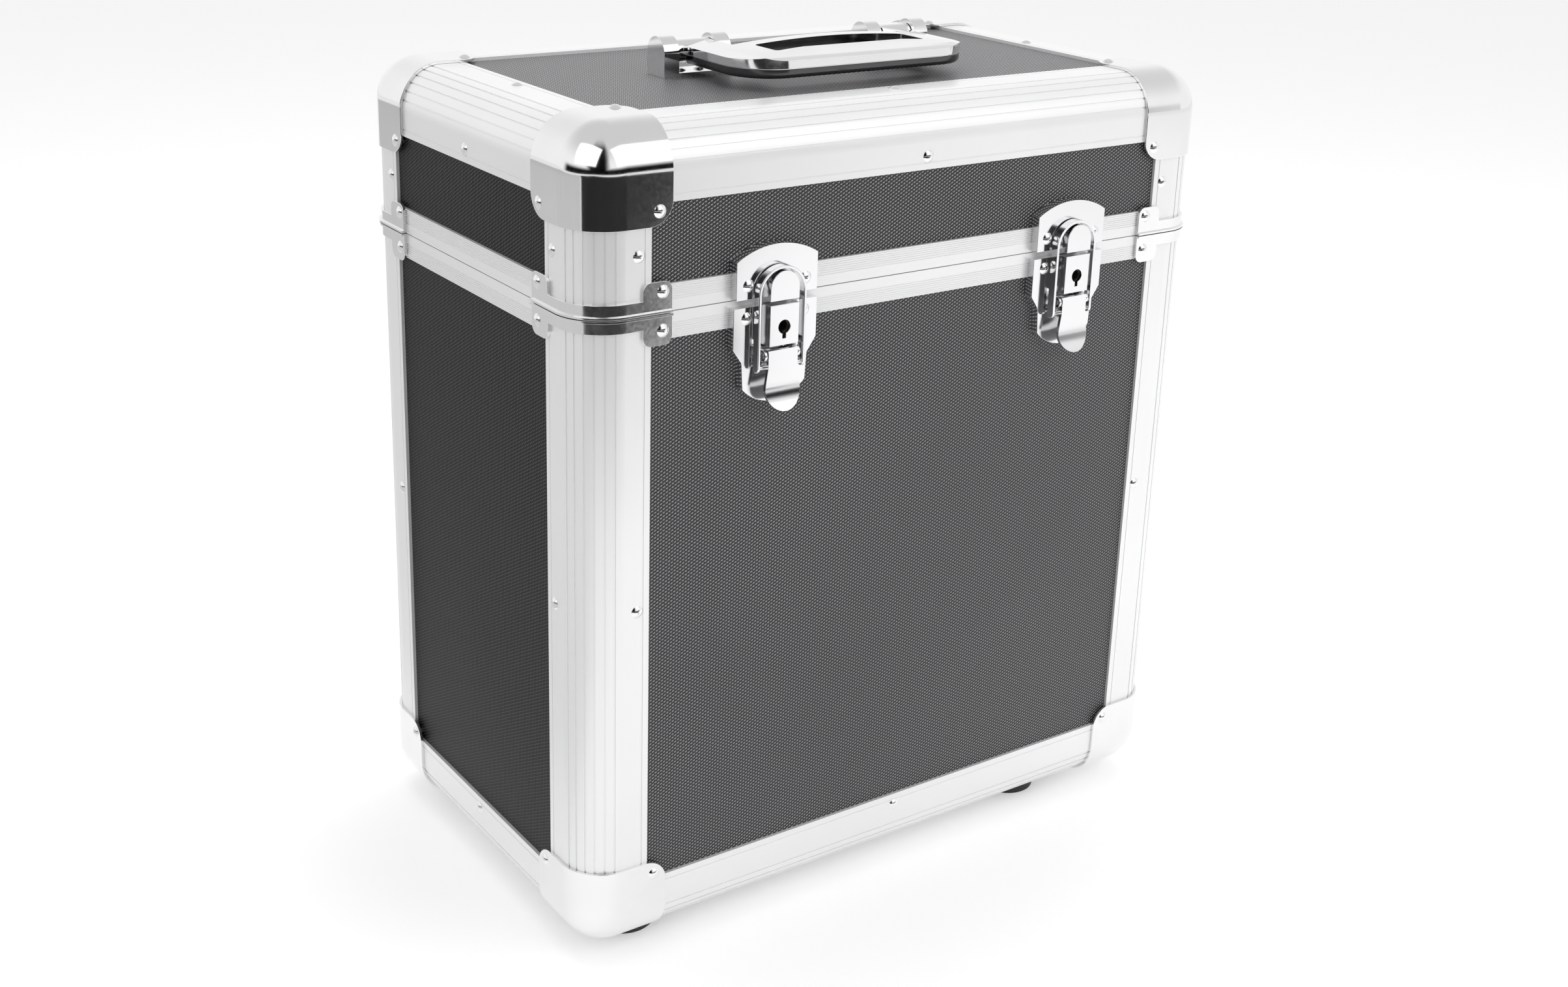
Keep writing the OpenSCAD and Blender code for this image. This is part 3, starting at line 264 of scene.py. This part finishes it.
def bevel(piece, width, segments):
    """Rounds the piece's sharp edges and applies the modifier."""
    only(piece)
    modifier = piece.modifiers.new("rounding", "BEVEL")
    modifier.width = width
    modifier.segments = segments
    modifier.limit_method = "ANGLE"
    modifier.angle_limit = math.radians(FITTING_ANGLE)
    modifier.miter_outer = "MITER_ARC"
    bpy.ops.object.modifier_apply(modifier=modifier.name)


def within(point, box):
    """Whether a point lies in a box seen from above: its left, right, front and back."""
    left, right, front, back = box
    return left < point.x < right and front < point.y < back


def round_level(piece, low, high, width, segments, but):
    """Rounds the sharp edges between two heights, but not those in a box seen from above."""
    only(piece)
    bpy.ops.object.mode_set(mode="EDIT")
    bpy.ops.mesh.select_mode(type="EDGE")
    bpy.ops.mesh.select_all(action="DESELECT")
    bpy.ops.mesh.edges_select_sharp(sharpness=math.radians(GRIP_ANGLE))
    bpy.ops.object.mode_set(mode="OBJECT")
    mesh = piece.data
    for edge in mesh.edges:
        ends = [mesh.vertices[v].co for v in edge.vertices]
        if min(p.z for p in ends) < low or max(p.z for p in ends) > high:
            edge.select = False
        elif all(within(p, but) for p in ends):
            edge.select = False
    bpy.ops.object.mode_set(mode="EDIT")
    bpy.ops.mesh.bevel(offset=width, segments=segments, clamp_overlap=True)
    bpy.ops.mesh.select_all(action="SELECT")
    bpy.ops.mesh.remove_doubles(threshold=SAME_CORNER)
    bpy.ops.object.mode_set(mode="OBJECT")


def smooth(piece):
    """Smooth shading whose normals follow the larger faces, as on pressed metal."""
    only(piece)
    bpy.ops.object.shade_smooth_by_angle(angle=math.radians(SHARP_ANGLE))
    modifier = piece.modifiers.new("shading", "WEIGHTED_NORMAL")
    modifier.keep_sharp = True
    modifier.weight = LARGE_FACES_LEAD
    bpy.ops.object.modifier_apply(modifier=modifier.name)


def body_of(node):
    """The name of the moving body that holds a node."""
    for body, nodes in frame["record"]["behaviour"]["bodies"].items():
        if node in nodes:
            return body
    raise RuntimeError("no body holds " + node)


def place(piece, node, material):
    """The finished piece takes the node's place, body and material slot."""
    piece.data.materials.clear()
    piece.data.materials.append(material)
    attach(piece, body_of(node))
    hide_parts(node)


def softened(node, width, material, segments=3):
    """A CAD node's copy with rounded edges, in the node's place."""
    piece = copy_of(node, node + "_soft")
    bevel(piece, width, segments)
    smooth(piece)
    place(piece, node, material)


def dress(node, material):
    """A CAD node keeps its shape and gets a better material."""
    NODES[node].data.materials.clear()
    NODES[node].data.materials.append(material)


def nodes_with(*words):
    """The nodes whose names hold one of the words, in order of name."""
    return sorted(n for n in NODES if any(w in n for w in words))


# ---------------------------------------------------------------- material helpers

def new_material(name):
    """A new material, its node tree and its shader."""
    material = bpy.data.materials.new(name)
    material.use_nodes = True
    tree = material.node_tree
    return material, tree, tree.nodes["Principled BSDF"]


def link(tree, source, target):
    """Joins an output to an input."""
    tree.links.new(source, target)


def math_node(tree, operation, *values):
    """The result of a sum on numbers and other nodes' results."""
    node = tree.nodes.new("ShaderNodeMath")
    node.operation = operation
    for socket, value in zip(node.inputs, values):
        if isinstance(value, (int, float)):
            socket.default_value = value
        else:
            link(tree, value, socket)
    return node.outputs[0]


def dot_product(tree, vector, fixed):
    """How far a vector reaches along a fixed one."""
    node = tree.nodes.new("ShaderNodeVectorMath")
    node.operation = "DOT_PRODUCT"
    link(tree, vector, node.inputs[0])
    node.inputs[1].default_value = fixed
    return node.outputs["Value"]


def object_point(tree):
    """The point being shaded, in the case's own coordinates."""
    return tree.nodes.new("ShaderNodeTexCoord").outputs["Object"]


def noise(tree, point, scale, detail=2.0, stretch=(1, 1, 1)):
    """Soft noise from 0 to 1, drawn out along an axis whose stretch is small."""
    mapping = tree.nodes.new("ShaderNodeMapping")
    mapping.inputs["Scale"].default_value = stretch
    link(tree, point, mapping.inputs["Vector"])
    texture = tree.nodes.new("ShaderNodeTexNoise")
    texture.inputs["Scale"].default_value = scale
    texture.inputs["Detail"].default_value = detail
    link(tree, mapping.outputs[0], texture.inputs["Vector"])
    return texture.outputs["Fac"]


def wave(tree, point, direction, pitch, phase):
    """A cosine wave over the point, one wave every pitch along direction."""
    along = dot_product(tree, point, Vector(direction) * (2 * math.pi / pitch))
    return math_node(tree, "COSINE", math_node(tree, "ADD", along, phase))


def ramp(tree, value, start, end):
    """Runs smoothly from 0 to 1 as value runs from start to end."""
    node = tree.nodes.new("ShaderNodeMapRange")
    node.interpolation_type = "SMOOTHSTEP"
    link(tree, value, node.inputs["Value"])
    node.inputs["From Min"].default_value = start
    node.inputs["From Max"].default_value = end
    return node.outputs[0]


def between(tree, value, low, high):
    """A number that runs from low to high as value runs from 0 to 1."""
    node = tree.nodes.new("ShaderNodeMapRange")
    link(tree, value, node.inputs["Value"])
    node.inputs["To Min"].default_value = low
    node.inputs["To Max"].default_value = high
    return node.outputs[0]


def shade(colour, factor):
    """A colour made darker or lighter, up to white."""
    return tuple(min(1.0, c * factor) for c in colour)


def vary_colour(tree, shader, value, colour, dark, light):
    """The shader's colour runs from dark to light times colour as value runs from 0 to 1."""
    node = tree.nodes.new("ShaderNodeMix")
    node.data_type = "RGBA"
    link(tree, value, node.inputs["Factor"])
    node.inputs["A"].default_value = (*shade(colour, dark), 1)
    node.inputs["B"].default_value = (*shade(colour, light), 1)
    link(tree, node.outputs["Result"], shader.inputs["Base Color"])


def vary_roughness(tree, shader, value, low, high):
    """The shader's roughness runs from low to high as value runs from 0 to 1."""
    link(tree, between(tree, value, low, high), shader.inputs["Roughness"])


def bump(tree, shader, height, distance, strength=1.0):
    """Raises the shader's surface by up to distance as height runs from 0 to 1."""
    node = tree.nodes.new("ShaderNodeBump")
    node.inputs["Distance"].default_value = distance
    node.inputs["Strength"].default_value = strength
    link(tree, height, node.inputs["Height"])
    link(tree, node.outputs[0], shader.inputs["Normal"])


def seen_directly(tree):
    """1 for the camera's rays and for those that metal or glass sends on."""
    path = tree.nodes.new("ShaderNodeLightPath").outputs
    mirrored = math_node(tree, "MAXIMUM", path["Is Glossy Ray"], path["Is Transmission Ray"])
    return math_node(tree, "MAXIMUM", path["Is Camera Ray"], mirrored)


# ---------------------------------------------------------------- finishes

def laminate(name, across, up, light, dark=0.42, gloss=0.5):
    """Dark laminate with raised dots in slanting rows on the plane of two axes.

    A painted highlight streak along each row is light times the laminate's colour, and the rest
    is dark times it.
    """
    look = settings("finish")
    material, tree, shader = new_material(name)
    point = object_point(tree)

    def rows(degrees, phase=0.0):
        angle = math.radians(degrees)
        direction = Vector(across) * math.cos(angle) + Vector(up) * math.sin(angle)
        return wave(tree, point, direction, look.dot_pitch, phase)

    along = math_node(tree, "ADD", rows(0), rows(60))
    height = ramp(tree, math_node(tree, "ADD", along, rows(120)), *DOT_RISE)
    # Painted highlight: a light streak on the upper side of each row of dots, where lamp light
    # from above would glint
    streak = math_node(tree, "MULTIPLY",
                       ramp(tree, rows(120, CREST_PHASE), *STREAK_ACROSS),
                       ramp(tree, along, *STREAK_ALONG))
    cloud = noise(tree, point, scale=9.0)
    # The painted highlight's strength varies softly from place to place
    painted_highlight = math_node(tree, "MULTIPLY", streak, between(tree, cloud, 0.8, 1.15))
    vary_colour(tree, shader, painted_highlight, look.laminate, dark, light)
    vary_roughness(tree, shader, cloud, 0.38, 0.46)
    shader.inputs["Specular IOR Level"].default_value = gloss
    bump(tree, shader, height, look.dot_height)
    return material


def aluminium(name, stretch):
    """Satin aluminium with a fine grain drawn along the extrusion."""
    look = settings("finish")
    material, tree, shader = new_material(name)
    point = object_point(tree)
    grain = noise(tree, point, scale=900.0, detail=3.0, stretch=stretch)
    cloud = noise(tree, point, scale=12.0)
    vary_colour(tree, shader, cloud, look.aluminium, 0.96, 1.03)
    vary_roughness(tree, shader, grain, 0.30, 0.42)
    shader.inputs["Metallic"].default_value = 0.5
    bump(tree, shader, grain, distance=0.02 * MM, strength=0.5)
    return material


def chrome(name, rough, ripple=0.05 * MM, brightness=1.0):
    """Bright plating with slight waves and fine handling marks; a factor below 1 darkens its
    colour as painted shade.
    """
    look = settings("finish")
    material, tree, shader = new_material(name)
    point = object_point(tree)
    cloud = noise(tree, point, scale=60.0, detail=3.0)
    marks = noise(tree, point, scale=700.0, detail=4.0)
    # A factor below 1 darkens the plating's colour as painted shade
    vary_colour(tree, shader, cloud, look.chrome, 0.95 * brightness, 1.03 * brightness)
    vary_roughness(tree, shader, marks, *rough)
    shader.inputs["Metallic"].default_value = 1.0
    bump(tree, shader, cloud, distance=ripple, strength=0.4)
    return material


def steel(name, colour, rough):
    """Plain steel, marked a little by handling."""
    material, tree, shader = new_material(name)
    marks = noise(tree, object_point(tree), scale=500.0, detail=3.0)
    vary_colour(tree, shader, marks, colour, 0.85, 1.1)
    vary_roughness(tree, shader, marks, *rough)
    shader.inputs["Metallic"].default_value = 1.0
    return material


def rubber(name):
    """Matt black rubber with a fine grain."""
    look = settings("finish")
    material, tree, shader = new_material(name)
    grain = noise(tree, object_point(tree), scale=420.0, detail=4.0)
    vary_colour(tree, shader, grain, look.rubber, 0.7, 1.6)
    vary_roughness(tree, shader, grain, 0.55, 0.8)
    bump(tree, shader, grain, distance=0.08 * MM)
    return material


def felt(name):
    """Thin black felt."""
    look = settings("finish")
    material, tree, shader = new_material(name)
    fibres = noise(tree, object_point(tree), scale=650.0, detail=5.0)
    vary_colour(tree, shader, fibres, look.felt, 0.6, 1.7)
    shader.inputs["Roughness"].default_value = 0.95
    shader.inputs["Sheen Weight"].default_value = 0.35
    shader.inputs["Sheen Roughness"].default_value = 0.5
    bump(tree, shader, fibres, distance=0.25 * MM)
    return material


# What makes each finish, and with which values
FINISHES = {
    # Copies of one laminate, lit differently: light sets each copy's painted highlights,
    # brightest on the level boards, and the side boards' low dark and light are painted shade
    "laminate_front": (laminate, {"across": (1, 0, 0), "up": (0, 0, 1), "light": 13.0}),
    "laminate_side": (laminate, {"across": (0, -1, 0), "up": (0, 0, 1), "light": 2.2,
                                 "dark": 0.18, "gloss": 0.15}),
    "laminate_level": (laminate, {"across": (1, 0, 0), "up": (0, 1, 0), "light": 25.0}),
    "aluminium_upright": (aluminium, {"stretch": (1, 1, 0.02)}),
    "aluminium_across": (aluminium, {"stretch": (0.02, 1, 1)}),
    "aluminium_deep": (aluminium, {"stretch": (1, 0.02, 1)}),
    "corner_chrome": (chrome, {"rough": (0.06, 0.13)}),
    "fitting_chrome": (chrome, {"rough": (0.09, 0.2)}),
    "latch_chrome": (chrome, {"rough": (0.07, 0.15)}),
    "grip_chrome": (chrome, {"rough": (0.05, 0.11), "ripple": 0.08 * MM}),
    # The grip's lower shell: the same chrome, darkened to about a tenth as painted shade
    "grip_dark": (chrome, {"rough": (0.12, 0.22), "ripple": 0.1 * MM, "brightness": 0.12}),
    "pin_steel": (steel, {"colour": (0.5, 0.5, 0.51), "rough": (0.25, 0.45)}),
    "lock_steel": (steel, {"colour": (0.10, 0.095, 0.09), "rough": (0.4, 0.6)}),
    "foot_rubber": (rubber, {}),
    "lining_felt": (felt, {}),
}


def finish(name):
    """The material of a finish, made once."""
    made = bpy.data.materials.get(name)
    if made:
        return made
    maker, values = FINISHES[name]
    return maker(name, **values)


# ---------------------------------------------------------------- pieces

class CASE_OT_boards(bpy.types.Operator):
    """Gives every board its embossed laminate"""
    bl_idname = "case.boards"
    bl_label = "Boards"

    def execute(self, context):
        for node in nodes_with("_panel"):
            # Front and back, side and level boards get their own copy of the laminate, with
            # painted highlights and, on the sides, painted shade
            if "front" in node or "back" in node:
                dress(node, finish("laminate_front"))
            elif "left" in node or "right" in node:
                dress(node, finish("laminate_side"))
            else:
                dress(node, finish("laminate_level"))
        return {"FINISHED"}


class CASE_OT_lining(bpy.types.Operator):
    """Models the linings and gives them their felt"""
    bl_idname = "case.lining"
    bl_label = "Lining"

    def execute(self, context):
        for node in nodes_with("_lining"):
            softened(node, settings("edges").lining, finish("lining_felt"),
                     segments=2)
        return {"FINISHED"}


class CASE_OT_profiles(bpy.types.Operator):
    """Gives the edge profiles and the rims satin aluminium"""
    bl_idname = "case.profiles"
    bl_label = "Edge profiles and rims"

    def execute(self, context):
        for node in nodes_with("_post"):
            dress(node, finish("aluminium_upright"))
        for node in nodes_with("_edge_front", "_edge_back", "_rim"):
            dress(node, finish("aluminium_across"))
        for node in nodes_with("_edge_left", "_edge_right"):
            dress(node, finish("aluminium_deep"))
        return {"FINISHED"}


class CASE_OT_ball_corners(bpy.types.Operator):
    """Models the polished ball corners"""
    bl_idname = "case.ball_corners"
    bl_label = "Ball corners"

    def execute(self, context):
        for node in nodes_with("_cap_"):
            softened(node, settings("edges").corner, finish("corner_chrome"))
        return {"FINISHED"}


class CASE_OT_braces(bpy.types.Operator):
    """Models the corner braces at the split and plates the rivets"""
    bl_idname = "case.braces"
    bl_label = "Braces and rivets"

    def execute(self, context):
        for node in nodes_with("_corner_braces"):
            softened(node, settings("edges").brace,
                     finish("fitting_chrome"))
        for node in nodes_with("_rivets"):
            dress(node, finish("fitting_chrome"))
        return {"FINISHED"}


class CASE_OT_latches(bpy.types.Operator):
    """Models the latches' plates, levers and bails, and dresses locks, pins and screws"""
    bl_idname = "case.latches"
    bl_label = "Latches, locks, pins and screws"

    def execute(self, context):
        edges = settings("edges")
        for node in nodes_with("latch_base", "latch_strike"):
            softened(node, edges.plate, finish("latch_chrome"))
        for node in nodes_with("latch_lever", "latch_bail"):
            softened(node, edges.lever, finish("latch_chrome"))
        for node in nodes_with("latch_lock"):
            dress(node, finish("lock_steel"))
        for node in nodes_with("_pins", "foot_screws"):
            dress(node, finish("pin_steel"))
        return {"FINISHED"}


class CASE_OT_hinges(bpy.types.Operator):
    """Models the hinge leaves on the back"""
    bl_idname = "case.hinges"
    bl_label = "Hinges"

    def execute(self, context):
        for node in nodes_with("hinge_leaves"):
            softened(node, settings("edges").lever, finish("latch_chrome"))
        return {"FINISHED"}


class CASE_OT_handle(bpy.types.Operator):
    """Models the handle: brackets and both halves of the grip"""
    bl_idname = "case.handle"
    bl_label = "Handle"

    def execute(self, context):
        edges = settings("edges")
        softened("handle_brackets", edges.plate, finish("grip_chrome"))
        top = copy_of("handle_top_shell", "grip_upper_shell")
        low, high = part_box("handle_top_shell")
        opening = (-OPENING_HALF, OPENING_HALF, low.y + OPENING_START, low.y + OPENING_END)
        round_level(top, low.z + SEAM_HEIGHT, high.z, edges.grip, segments=5, but=opening)
        smooth(top)
        place(top, "handle_top_shell", finish("grip_chrome"))
        bottom = copy_of("handle_bottom_shell", "grip_lower_shell")
        low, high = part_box("handle_bottom_shell")
        round_level(bottom, low.z - MM, low.z + MM, edges.grip_under, segments=4,
                    but=opening)
        smooth(bottom)
        # The lower shell's chrome is darkened as painted shade
        place(bottom, "handle_bottom_shell", finish("grip_dark"))
        return {"FINISHED"}


class CASE_OT_feet(bpy.types.Operator):
    """Models the rubber feet"""
    bl_idname = "case.feet"
    bl_label = "Feet"

    def execute(self, context):
        softened("rubber_feet", settings("edges").foot, finish("foot_rubber"))
        return {"FINISHED"}


# ---------------------------------------------------------------- stage

def make_camera():
    """The photograph's camera, with its lens shifted as far as its framing needs."""
    forward, up = Vector(CAMERA_FORWARD), Vector(CAMERA_UP)
    right = forward.cross(up)
    turned = Matrix((right, up, -forward)).transposed().to_4x4()
    width, height = PHOTO_SIZE
    bpy.ops.object.camera_add()
    camera = bpy.context.object
    camera.name = "photo_camera"
    camera.matrix_world = Matrix.Translation(CAMERA_AT) @ turned
    camera.data.sensor_fit = "HORIZONTAL"
    camera.data.sensor_width = SENSOR_MM
    camera.data.lens = FOCAL_PX * SENSOR_MM / width
    camera.data.shift_x = (width / 2 - CENTRE_PX[0]) / width
    camera.data.shift_y = (CENTRE_PX[1] - height / 2) / width
    camera.data.dof.use_dof = False
    bpy.context.scene.camera = camera


def make_floor():
    """A paper floor, lifted to white where it is seen."""
    look = settings("stage")
    bpy.ops.mesh.primitive_plane_add(size=FLOOR_WIDTH, location=(0, 0, 0))
    floor = bpy.context.object
    floor.name = "floor"
    material, tree, shader = new_material("floor_paper")
    grain = noise(tree, object_point(tree), scale=40.0)
    vary_colour(tree, shader, grain, look.floor, 0.995, 1.0)
    shader.inputs["Roughness"].default_value = 0.9
    shader.inputs["Emission Color"].default_value = (*WHITE, 1)
    link(tree, math_node(tree, "MULTIPLY", seen_directly(tree), look.glow),
         shader.inputs["Emission Strength"])
    floor.data.materials.append(material)


def only_mirrored(card):
    """A stage card that nothing but the bright metal shows."""
    card.visible_camera = False
    card.visible_diffuse = False
    card.visible_shadow = False


def make_mirrored_floors():
    """The dark and the grey floor that the bright metal mirrors."""
    for name, (corners, dark, light) in MIRRORED_FLOORS.items():
        material, tree, shader = new_material(name)
        streaks = noise(tree, object_point(tree), scale=14.0, detail=3.0,
                        stretch=(1, 0.15, 1))
        vary_colour(tree, shader, streaks, WHITE, dark, light)
        shader.inputs["Roughness"].default_value = 1.0
        shader.inputs["Specular IOR Level"].default_value = 0.0
        bpy.ops.mesh.primitive_circle_add(vertices=len(corners), radius=1, fill_type="NGON")
        card = bpy.context.object
        card.name = name
        for vertex, (x, y) in zip(card.data.vertices, corners):
            vertex.co = (x, y, MIRRORED_FLOOR_HEIGHT)
        only(card)
        bpy.ops.object.mode_set(mode="EDIT")
        bpy.ops.mesh.select_all(action="SELECT")
        bpy.ops.mesh.normals_make_consistent(inside=False)
        bpy.ops.object.mode_set(mode="OBJECT")
        card.data.materials.append(material)
        only_mirrored(card)


def make_surround():
    """A surround that is white where it is seen, but for the dark room that metal mirrors."""
    look = settings("stage")
    world = bpy.data.worlds.new("studio")
    bpy.context.scene.world = world
    world.use_nodes = True
    tree = world.node_tree
    background = tree.nodes["Background"]
    direction = tree.nodes.new("ShaderNodeTexCoord").outputs["Generated"]
    parts = tree.nodes.new("ShaderNodeSeparateXYZ")
    link(tree, direction, parts.inputs[0])
    height = parts.outputs["Z"]
    glossy = tree.nodes.new("ShaderNodeLightPath").outputs["Is Glossy Ray"]

    # The cosine of the level angle between a direction and the dark room's middle
    level = math_node(tree, "SQRT", math_node(
        tree, "SUBTRACT", 1.0, math_node(tree, "POWER", height, 2.0)))
    aside = math_node(tree, "DIVIDE", dot_product(tree, direction, DARK_ROOM_AT),
                      math_node(tree, "MAXIMUM", level, LEAST_LEVEL))
    room, wall = (math_node(tree, "MULTIPLY", ramp(tree, aside, *sides),
                            ramp(tree, height, *top))
                  for sides, top in (DARK_ROOM, DARK_WALL))
    dark = math_node(tree, "MULTIPLY", math_node(tree, "MAXIMUM", room, wall), glossy)
    ceiling = math_node(tree, "MULTIPLY", ramp(tree, height, *CEILING_RISE),
                        math_node(tree, "MULTIPLY", glossy, CEILING_SHADE))

    seen = math_node(tree, "SUBTRACT", math_node(
        tree, "SUBTRACT", seen_directly(tree), ceiling), dark)
    lit = math_node(tree, "MULTIPLY", math_node(tree, "SUBTRACT", 1.0, dark), look.sky)
    link(tree, math_node(tree, "MAXIMUM", seen, lit), background.inputs["Strength"])
    background.inputs["Color"].default_value = (*WHITE, 1)


def make_box_face(at, turned, size, strength):
    """The bright front of a soft box as the metal mirrors it."""
    bpy.ops.mesh.primitive_plane_add(size=1, location=at, rotation=turned)
    face = bpy.context.object
    face.name = "soft_box_face"
    face.scale = (*size, 1)
    material, tree, shader = new_material("soft_box_face")
    patches = noise(tree, object_point(tree), scale=2.5)
    shader.inputs["Base Color"].default_value = (0, 0, 0, 1)
    shader.inputs["Emission Color"].default_value = (*WHITE, 1)
    link(tree, between(tree, patches, 0.8 * strength, 1.2 * strength),
         shader.inputs["Emission Strength"])
    face.data.materials.append(material)
    only_mirrored(face)


def make_soft_boxes():
    """The lamps, and the fronts of those that the bright metal mirrors."""
    look = settings("stage")
    for at, size, share, mirrored in SOFT_BOXES:
        turned = (Vector(SOFT_BOXES_FACE) - Vector(at)).to_track_quat("-Z", "Y").to_euler()
        bpy.ops.object.light_add(type="AREA", location=at, rotation=turned)
        lamp = bpy.context.object
        lamp.name = "soft_box"
        lamp.data.shape = "RECTANGLE"
        lamp.data.size, lamp.data.size_y = size
        lamp.data.energy = look.key * share
        lamp.visible_glossy = False
        if mirrored:
            make_box_face(at, turned, size, mirrored)


class CASE_OT_stage(bpy.types.Operator):
    """Sets up the camera, the floor, the surround and the soft boxes"""
    bl_idname = "case.stage"
    bl_label = "Stage"

    def execute(self, context):
        deselect()
        make_camera()
        make_floor()
        make_mirrored_floors()
        make_surround()
        make_soft_boxes()
        context.scene.view_settings.view_transform = "Standard"
        return {"FINISHED"}


class CASE_PT_panel(bpy.types.Panel):
    """Lists the pieces of the case and their settings"""
    bl_label = "Record carrying case"
    bl_idname = "CASE_PT_panel"
    bl_space_type = "VIEW_3D"
    bl_region_type = "UI"
    bl_category = "Record case"

    def draw(self, context):
        for operator in PIECES:
            self.layout.operator(operator.bl_idname)
        for group, name in GROUPS.items():
            for key in group.__annotations__:
                self.layout.prop(settings(name), key)


GROUPS = {CaseFinishSettings: "finish", CaseEdgeSettings: "edges",
          CaseStageSettings: "stage"}
PIECES = (CASE_OT_boards, CASE_OT_lining, CASE_OT_profiles, CASE_OT_ball_corners,
          CASE_OT_braces, CASE_OT_latches, CASE_OT_hinges, CASE_OT_handle, CASE_OT_feet,
          CASE_OT_stage)
CLASSES = (*GROUPS, *PIECES, CASE_PT_panel)


def register():
    for cls in CLASSES:
        bpy.utils.register_class(cls)
    for group, name in GROUPS.items():
        setattr(bpy.types.Scene, "case_" + name, bpy.props.PointerProperty(type=group))


def unregister():
    for name in GROUPS.values():
        delattr(bpy.types.Scene, "case_" + name)
    for cls in reversed(CLASSES):
        bpy.utils.unregister_class(cls)


def main():
    """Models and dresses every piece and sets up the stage."""
    register()
    for operator in PIECES:
        getattr(bpy.ops.case, operator.bl_idname.split(".")[1])()


if __name__ == "__main__":
    main()
